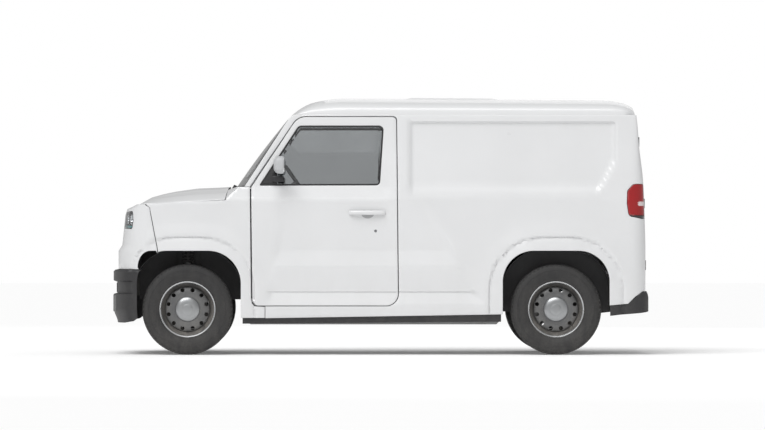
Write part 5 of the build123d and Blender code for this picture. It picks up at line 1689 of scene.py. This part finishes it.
@dataclass
class Fittings:
    """The lamps, mirrors, handles, key barrels and rear hardware."""

    ends: Ends
    mirror_centre: Vector = field(default_factory=lambda: Vector((-0.717, -0.908, 1.354)))
    bulb_places: tuple[float, float] = (-1.87, -1.96)
    bulb_height: float = 0.968
    bulb_radius: float = 0.022
    bezel_radius: float = 0.036
    handle_start: float = -0.222
    handle_length: float = 0.250
    handle_height: float = 1.015
    key_x: float = -0.036
    key_z: float = 0.884

    def build(self) -> None:
        """Makes each fitting on both sides."""
        self.head_lamps()
        self.tail_lamps()
        self.mirrors()
        self.handles()
        self.rear_hardware()

    def pair(self, left: bpy.types.Object, finish: str, body: str, node: str = "") -> None:
        """Dresses a left fitting and its mirror image."""
        right = mirrored(left, left.name.replace("_left", "_right"))
        for obj, side in ((left, "left"), (right, "right")):
            dress(obj, finish, body.format(side), *([node.format(side)] if node else []))

    def head_lamps(self) -> None:
        """Clear lenses over a dark housing, a bright reflector and a coloured light bar."""
        surface, inward = self.ends.front(lambda s, z: 0.0)

        def back(by: float) -> Surface:
            """The front skin moved inwards."""
            return lambda s, z: surface(s, z) + inward(s, z) * by
        outline = self.ends.head_lamp_outline(-0.0010)
        lens = Panel("head_lamp_lens_left", outline, back(0.001), inward, 0.003, (), 0.02, radius=0.001).build()
        right = mirrored(lens, "head_lamp_lens_right")
        dress(lens, "clear_lens", "van_body", "head_lamps")
        dress(right, "clear_lens", "van_body")
        housing = Panel("head_lamp_housing_left", outline, back(0.030), inward, 0.004, (), 0.02).build()
        self.pair(housing, "gloss_black", "van_body")

        def circle(s: float, radius: float) -> list[Point2]:
            """A circle round a bulb's place on the skin."""
            return [(s + radius * math.cos(a), self.bulb_height + radius * math.sin(a))
                    for a in np.linspace(0, 2 * math.pi, 33)[:-1]]
        for number, s in enumerate(self.bulb_places):
            ring, inner = circle(s, self.bezel_radius), circle(s, self.bulb_radius)
            bezel = Panel(f"head_lamp_ring_{number}_left", ring, back(0.012), inward, 0.014, [inner], 0.02,
                          radius=0.002).build()
            self.pair(bezel, "lamp_chrome", "van_body")
            bulb = Panel(f"head_lamp_bulb_{number}_left", inner, back(0.020), inward, 0.008, (), 0.008,
                         radius=0.006).build()
            self.pair(bulb, "mirror_glass", "van_body")
        bar = rounded([(-2.050, 0.913, 0.004), (-1.825, 0.907, 0.004), (-1.822, 0.921, 0.004), (-2.050, 0.926, 0.004)])
        light = Panel("head_lamp_bar_left", bar, back(0.006), inward, 0.012, (), 0.02, radius=0.002).build()
        self.pair(light, "lamp_teal", "van_body")

    def tail_lamps(self) -> None:
        """Red lenses that wrap the rear corners, with a pale field and a dark foot."""
        lens = Panel("tail_lamp_left", lamp_outline(-0.0012), BODY.skin, BODY.inward, 0.012,
                     (), 0.012, radius=0.004).build()
        for finish in ("red_lens", "pale_lens", "gloss_black"):
            lens.data.materials.append(MATERIALS[finish])
        for face in lens.data.polygons:
            z = face.center.z
            if 1.062 < z < 1.094 and face.center.x > 1.838:
                face.material_index = 1
            elif z < 0.998:
                face.material_index = 2
        right = mirrored(lens, "tail_lamp_right")
        dress(lens, "red_lens", "van_body", "tail_lamps")
        dress(right, "red_lens", "van_body")

    def mirrors(self) -> None:
        """The folding mirror: a shell, a glass and a foot."""
        c = self.mirror_centre
        shell = soft_box("mirror_shell_left", (c.x, c.y, c.z), (0.045, 0.080, 0.063), 3.4)
        for vertex in shell.data.vertices:
            share = (vertex.co.x - c.x) / 0.045
            if share > 0.62:
                vertex.co.x = c.x + 0.045 * 0.62
            elif share < 0:
                vertex.co.z = c.z + (vertex.co.z - c.z) * (1 - 0.18 * share * share)
        self.pair(shell, "mirror_shell", "mirror_{}", "mirror_{}")
        outline = rounded([(c.y - 0.070, c.z - 0.053, 0.02), (c.y + 0.068, c.z - 0.053, 0.02),
                           (c.y + 0.068, c.z + 0.053, 0.02), (c.y - 0.070, c.z + 0.053, 0.02)])
        glass = Panel("mirror_glass_left", outline, lambda y, z: Vector((c.x + 0.0315, y, z)),
                      lambda y, z: Vector((-1, 0, 0)), 0.006, (), 0.02, radius=0.002).build()
        self.pair(glass, "mirror_glass", "mirror_{}")
        foot = swept("mirror_foot_left", [(-0.720, -0.8070, 1.2965), (-0.720, -0.814, 1.306), (-0.719, -0.826, 1.318),
                                          (-0.718, -0.846, 1.328)], 0.014, 16)
        self.pair(foot, "black_plastic", "mirror_{}")
        base = block("mirror_base_left", (-0.775, -0.790, 1.232), (-0.690, -0.766, 1.278), 0.008)
        self.pair(base, "black_plastic", "door_{}")

    def handles(self) -> None:
        """The pull bar, bent back to the door at both ends, and the key barrel."""
        z = self.handle_height
        path = [(self.handle_start + self.handle_length * t,
                 -0.8055 - 0.0165 * math.sin(math.pi * min(max(t, 0.0), 1.0)) ** 0.35, z)
                for t in np.linspace(0.0, 1.0, 41)]
        bar = swept("door_handle_left", path, 0.0105, 18)
        for vertex in bar.data.vertices:
            vertex.co.z = z + (vertex.co.z - z) * 1.55
        self.pair(bar, "white_paint", "handle_{}", "door_handle_{}")
        face = -BODY.section(self.key_x, self.key_z)
        profile = [(0.0, face - 0.0022), (0.0085, face - 0.0022), (0.0100, face - 0.0008), (0.0100, face + 0.004),
                   (0.0, face + 0.004)]
        key = turned("key_barrel_left", profile, Vector((self.key_x, 0.0, self.key_z)), 28)
        self.pair(key, "cast_parts", "door_{}")

    def rear_hardware(self) -> None:
        """The rear doors' hinges and the turning handle."""
        for number, z in enumerate((0.640, 1.080, 1.520)):
            x = 1.893 + BODY.tail_line(z)
            leaf = block(f"rear_hinge_{number}_left", (x - 0.003, -0.690, z - 0.035),
                         (x + 0.0045, -0.600, z + 0.035), 0.003)
            self.pair(leaf, "black_plastic", "rear_door_{}")
        plate = block("rear_handle_plate", (1.882, -0.090, 0.780), (1.8955, -0.030, 0.930), 0.005)
        dress(plate, "black_plastic", "rear_door_left")
        lever = block("rear_handle_lever", (1.896, -0.075, 0.798), (1.9085, -0.045, 0.914), 0.005)
        dress(lever, "gloss_black", "rear_handle", "rear_door_handle")


@dataclass
class Seat:
    """One seat: padded cushion, back and head rest over a frame on rails."""

    who: str
    side: float
    pivot: Vector = field(default_factory=lambda: Vector((-0.110, 0.0, 0.735)))
    lean: float = 10.0
    half_width: float = 0.225

    def build(self, soft: dict[str, bpy.types.Object]) -> None:
        """Places copies of the sewn parts and builds the frame.

        Args:
            soft: the simulated cushion, back and head rest, made about the vehicle's middle.
        """
        seat, back = f"{self.who}_seat", f"{self.who}_backrest"
        for label, body, node in (("cushion", seat, "seat_base"), ("back", back, "seat_back"),
                                  ("head_rest", back, "")):
            mesh = soft[label].data.copy()
            mesh.transform(Matrix.Translation((0.0, self.side, 0.0)))
            obj = bpy.data.objects.new(f"{self.who}_{label}", mesh)
            bpy.context.scene.collection.objects.link(obj)
            dress(obj, "seat_cloth", body, *([f"{self.who}_{node}"] if node else []))
        for index, path in enumerate(self.seams()):
            seam = swept(f"{self.who}_piping_{index}", path, 0.0035, 8, closed=True)
            dress(seam, "seat_piping", seat if index == 0 else back)
        self.frame_parts(seat, back)

    def leaned(self, point: Sequence) -> Vector:
        """A point of the upright back, leaned about the pivot and moved to this seat."""
        turned_point = Matrix.Rotation(math.radians(self.lean), 3, "Y") @ (Vector(point) - self.pivot)
        return turned_point + self.pivot + Vector((0, self.side, 0))

    def seams(self) -> list[list[Vector]]:
        """The piping round the cushion's top edge and the back's face."""
        cushion = [Vector((x, y + self.side, 0.727)) for x, y in rounded(
            [(-0.563, -0.203, 0.06), (-0.123, -0.203, 0.05), (-0.123, 0.203, 0.05), (-0.563, 0.203, 0.06)], 0.02)]
        back = [self.leaned((-0.083, y, z)) for y, z in rounded(
            [(-0.190, 0.800, 0.06), (0.190, 0.800, 0.06), (0.175, 1.200, 0.09), (-0.175, 1.200, 0.09)], 0.02)]
        return [cushion, back]

    def frame_parts(self, seat: str, back: str) -> None:
        """The pedestal, the rails, the lever, the head rest's posts and the back's hard shell.

        Args:
            seat: the seat's body.
            back: the back rest's body.
        """
        y = self.side
        base = block(f"{self.who}_pedestal", (-0.500, y - 0.185, 0.432), (-0.150, y + 0.185, 0.612), 0.020)
        dress(base, "trim_grey", seat)
        rails = [block("rail", (-0.560, y + o - 0.017, 0.403), (-0.115, y + o + 0.017, 0.434), 0.005)
                 for o in (-0.165, 0.165)]
        for rail in rails:
            finished(rail, "frame_black")
        dress(joined(f"{self.who}_rails", rails), "frame_black", seat)
        lever = swept(f"{self.who}_lever", [(-0.570, y - 0.10, 0.450), (-0.578, y - 0.07, 0.450),
                                            (-0.578, y + 0.07, 0.450), (-0.570, y + 0.10, 0.450)], 0.006, 10)
        dress(lever, "frame_black", seat)
        posts = [swept("post", [self.leaned((-0.020, o, 1.180)), self.leaned((-0.020, o, 1.310))], 0.006, 12)
                 for o in (-0.065, 0.065)]
        for post in posts:
            finished(post, "flange_steel")
        dress(joined(f"{self.who}_posts", posts), "flange_steel", back)
        shell = soft_box(f"{self.who}_back_shell", (0.018, 0.0, 0.985), (0.028, 0.205, 0.225), 5.0, 18)
        for vertex in shell.data.vertices:
            vertex.co = self.leaned(vertex.co)
        dress(shell, "trim_grey", back)


def sewn(name: str, centre: Sequence, half: Sequence, voxel: float, pull: float) -> bpy.types.Object:
    """A stuffed part: a soft block, remeshed and puffed out by a short cloth simulation.

    Args:
        name: the part's name.
        centre: its middle.
        half: half its sizes.
        voxel: the remeshed grid's size.
        pull: how strongly its sewn channels are drawn in, in metres.

    Returns:
        The part, with its final mesh and no modifiers.
    """
    obj = soft_box(name, centre, half, 4.2, 26)
    remesh = obj.modifiers.new("remesh", "REMESH")
    remesh.mode = "VOXEL"
    remesh.voxel_size = voxel
    applied(obj)
    rest = np.array([v.co[:] for v in obj.data.vertices])
    inflate(obj)
    moved = np.array([v.co[:] for v in obj.data.vertices]) - rest
    length = np.linalg.norm(moved, axis=1)[:, None]
    limit = 0.012
    capped = rest + moved * np.minimum(1.0, limit / np.maximum(length, 1e-6))
    for vertex, place in zip(obj.data.vertices, capped):
        vertex.co = place
    channel(obj, centre, half, pull)
    smooth = obj.modifiers.new("smooth", "SUBSURF")
    smooth.levels = smooth.render_levels = 1
    applied(obj)
    shade(obj, 60.0)
    return obj


def channel(obj: bpy.types.Object, centre: Sequence, half: Sequence, pull: float) -> None:
    """Draws in the two sewn channels that run along a part."""
    for vertex in obj.data.vertices:
        share = (vertex.co.y - centre[1]) / half[1]
        drawn = hump(abs(share), 0.52, 0.045) * pull
        for axis in (0, 2):
            vertex.co[axis] -= drawn * (vertex.co[axis] - centre[axis]) / half[axis]


def inflate(obj: bpy.types.Object) -> None:
    """Runs the cloth simulation on a closed part and keeps its last frame.

    Args:
        obj: the closed part, changed in place.
    """
    scene = bpy.context.scene
    cloth = obj.modifiers.new("cloth", "CLOTH")
    settings = cloth.settings
    settings.quality = 5
    settings.mass = 0.3
    settings.tension_stiffness = settings.compression_stiffness = 20.0
    settings.shear_stiffness = 12.0
    settings.bending_stiffness = 0.6
    settings.use_pressure = True
    settings.uniform_pressure_force = 4.0
    settings.effector_weights.gravity = 0.0
    cloth.collision_settings.use_collision = False
    cloth.point_cache.frame_start, cloth.point_cache.frame_end = 1, 14
    for number in range(1, 15):
        scene.frame_set(number)
    applied(obj)
    scene.frame_set(1)


def applied(obj: bpy.types.Object) -> None:
    """Replaces an object's mesh by its evaluated one and drops its modifiers."""
    graph = bpy.context.evaluated_depsgraph_get()
    mesh = bpy.data.meshes.new_from_object(obj.evaluated_get(graph))
    obj.modifiers.clear()
    obj.data = mesh


def build_seats() -> None:
    """Simulates one set of sewn parts and places it in both seats."""
    soft = {
        "cushion": sewn("cushion", (-0.343, 0.0, 0.668), (0.232, 0.218, 0.062), 0.007, 0.007),
        "back": sewn("back", (-0.038, 0.0, 0.985), (0.050, 0.212, 0.235), 0.007, 0.007),
        "head_rest": sewn("head_rest", (-0.030, 0.0, 1.375), (0.048, 0.130, 0.075), 0.006, 0.0),
    }
    seats = [Seat("driver", -0.356), Seat("passenger", 0.356)]
    turn = Matrix.Rotation(math.radians(seats[0].lean), 4, "Y")
    pivot = Matrix.Translation(seats[0].pivot)
    for label in ("back", "head_rest"):
        soft[label].data.transform(pivot @ turn @ pivot.inverted())
    for seat in seats:
        seat.build(soft)
    for obj in soft.values():
        bpy.data.objects.remove(obj)


@dataclass
class Studio:
    """The camera, the pale floor and the soft lights."""

    centre: Vector = field(default_factory=lambda: Vector((-0.382, -45.8, 0.891)))
    lens: float = 297.0
    ambient: float = 0.42

    def build(self) -> None:
        """Makes the stage, the lights and the camera."""
        self.floor()
        self.sun("overhead", (0.30, 0.62, -1.0), 1.95, 40.0)
        self.light("side_fill", (-3.0, -10.0, 5.0), (0.0, 0.0, 0.9), (8.0, 5.0), 70.0)
        self.light("far_fill", (3.0, 10.0, 5.0), (0.0, 0.0, 0.9), (8.0, 5.0), 90.0)
        world = bpy.data.worlds.new("studio")
        bpy.context.scene.world = world
        world.use_nodes = True
        graph = Graph(world.node_tree)
        seen = graph.add("ShaderNodeLightPath").outputs["Is Camera Ray"]
        strength = graph.spread(seen, 0.0, 1.0, self.ambient, 1.0)
        world.node_tree.nodes["Background"].inputs[0].default_value = (1.0, 1.0, 1.0, 1.0)
        world.node_tree.links.new(strength, world.node_tree.nodes["Background"].inputs[1])
        bpy.context.scene.view_settings.view_transform = "Standard"
        camera = bpy.data.cameras.new("camera")
        camera.lens = self.lens
        camera.clip_end = 200.0
        camera.shift_x = 0.0725
        camera.shift_y = 0.0196
        holder = bpy.data.objects.new("camera", camera)
        holder.location = self.centre
        holder.rotation_euler = (math.pi / 2, 0.0, 0.0)
        bpy.context.scene.collection.objects.link(holder)
        bpy.context.scene.camera = holder

    def floor(self) -> None:
        """A wide pale floor."""
        half = 60.0
        mesh = bpy.data.meshes.new("floor")
        mesh.from_pydata([(-half, -half, 0), (half, -half, 0), (half, half, 0), (-half, half, 0)], [], [(0, 1, 2, 3)])
        obj = bpy.data.objects.new("floor", mesh)
        bpy.context.scene.collection.objects.link(obj)
        material = bpy.data.materials.new("floor")
        material.use_nodes = True
        shader = material.node_tree.nodes["Principled BSDF"]
        shader.inputs["Base Color"].default_value = (0.97, 0.97, 0.97, 1.0)
        shader.inputs["Roughness"].default_value = 0.9
        shader.inputs["Emission Color"].default_value = (1.0, 1.0, 1.0, 1.0)
        shader.inputs["Emission Strength"].default_value = 0.10
        mesh.materials.append(material)

    @staticmethod
    def sun(name: str, way: Sequence, power: float, spread: float) -> None:
        """A wide soft light from far off, along a direction."""
        data = bpy.data.lights.new(name, "SUN")
        data.energy = power
        data.angle = math.radians(spread)
        lamp = bpy.data.objects.new(name, data)
        lamp.rotation_euler = Vector(way).to_track_quat("-Z", "Y").to_euler()
        bpy.context.scene.collection.objects.link(lamp)

    def light(self, name: str, place: Sequence, aim: Sequence, size: Point2, power: float) -> None:
        """A soft area light aimed at a point.

        Args:
            name: the light's name.
            place: where it stands.
            aim: the point that it faces.
            size: its width and height.
            power: its power in watts.
        """
        data = bpy.data.lights.new(name, "AREA")
        data.shape = "RECTANGLE"
        data.size, data.size_y = size
        data.energy = power
        lamp = bpy.data.objects.new(name, data)
        lamp.location = place
        lamp.rotation_euler = (Vector(aim) - Vector(place)).to_track_quat("-Z", "Y").to_euler()
        bpy.context.scene.collection.objects.link(lamp)


NODE_FINISH = {
    "body_white": "white_paint", "tyre_rubber": "tyre_rubber", "tinted_glass": "tinted_glass",
    "cap_metal": "front_cap_metal", "seat_fabric": "seat_cloth",
}


def dress_frame() -> None:
    """Gives every CAD node that stays in sight the finish of its slot."""
    for part in frame["record"]["subparts"]:
        name, slot = part["node"], part["material_slot"]
        finish = NODE_FINISH.get(slot, slot)
        obj = frame["nodes"][name]
        obj.data.materials.clear()
        obj.data.materials.append(MATERIALS[finish])


def main() -> None:
    """Builds the van, its stage and its sizes."""
    logging.basicConfig(level=logging.INFO, format="%(name)s: %(message)s")
    build_materials()
    dress_frame()
    Skins().build()
    ends = Ends()
    ends.build()
    lugs = radial_tree("tread_lugs", MATERIALS["tyre_rubber"])
    Wheel("front", FRONT_HUB).build(lugs)
    Wheel("rear", REAR_HUB).build(lugs)
    Springs().build()
    Fittings(ends).build()
    build_seats()
    Studio().build()


if __name__ == "__main__":
    main()
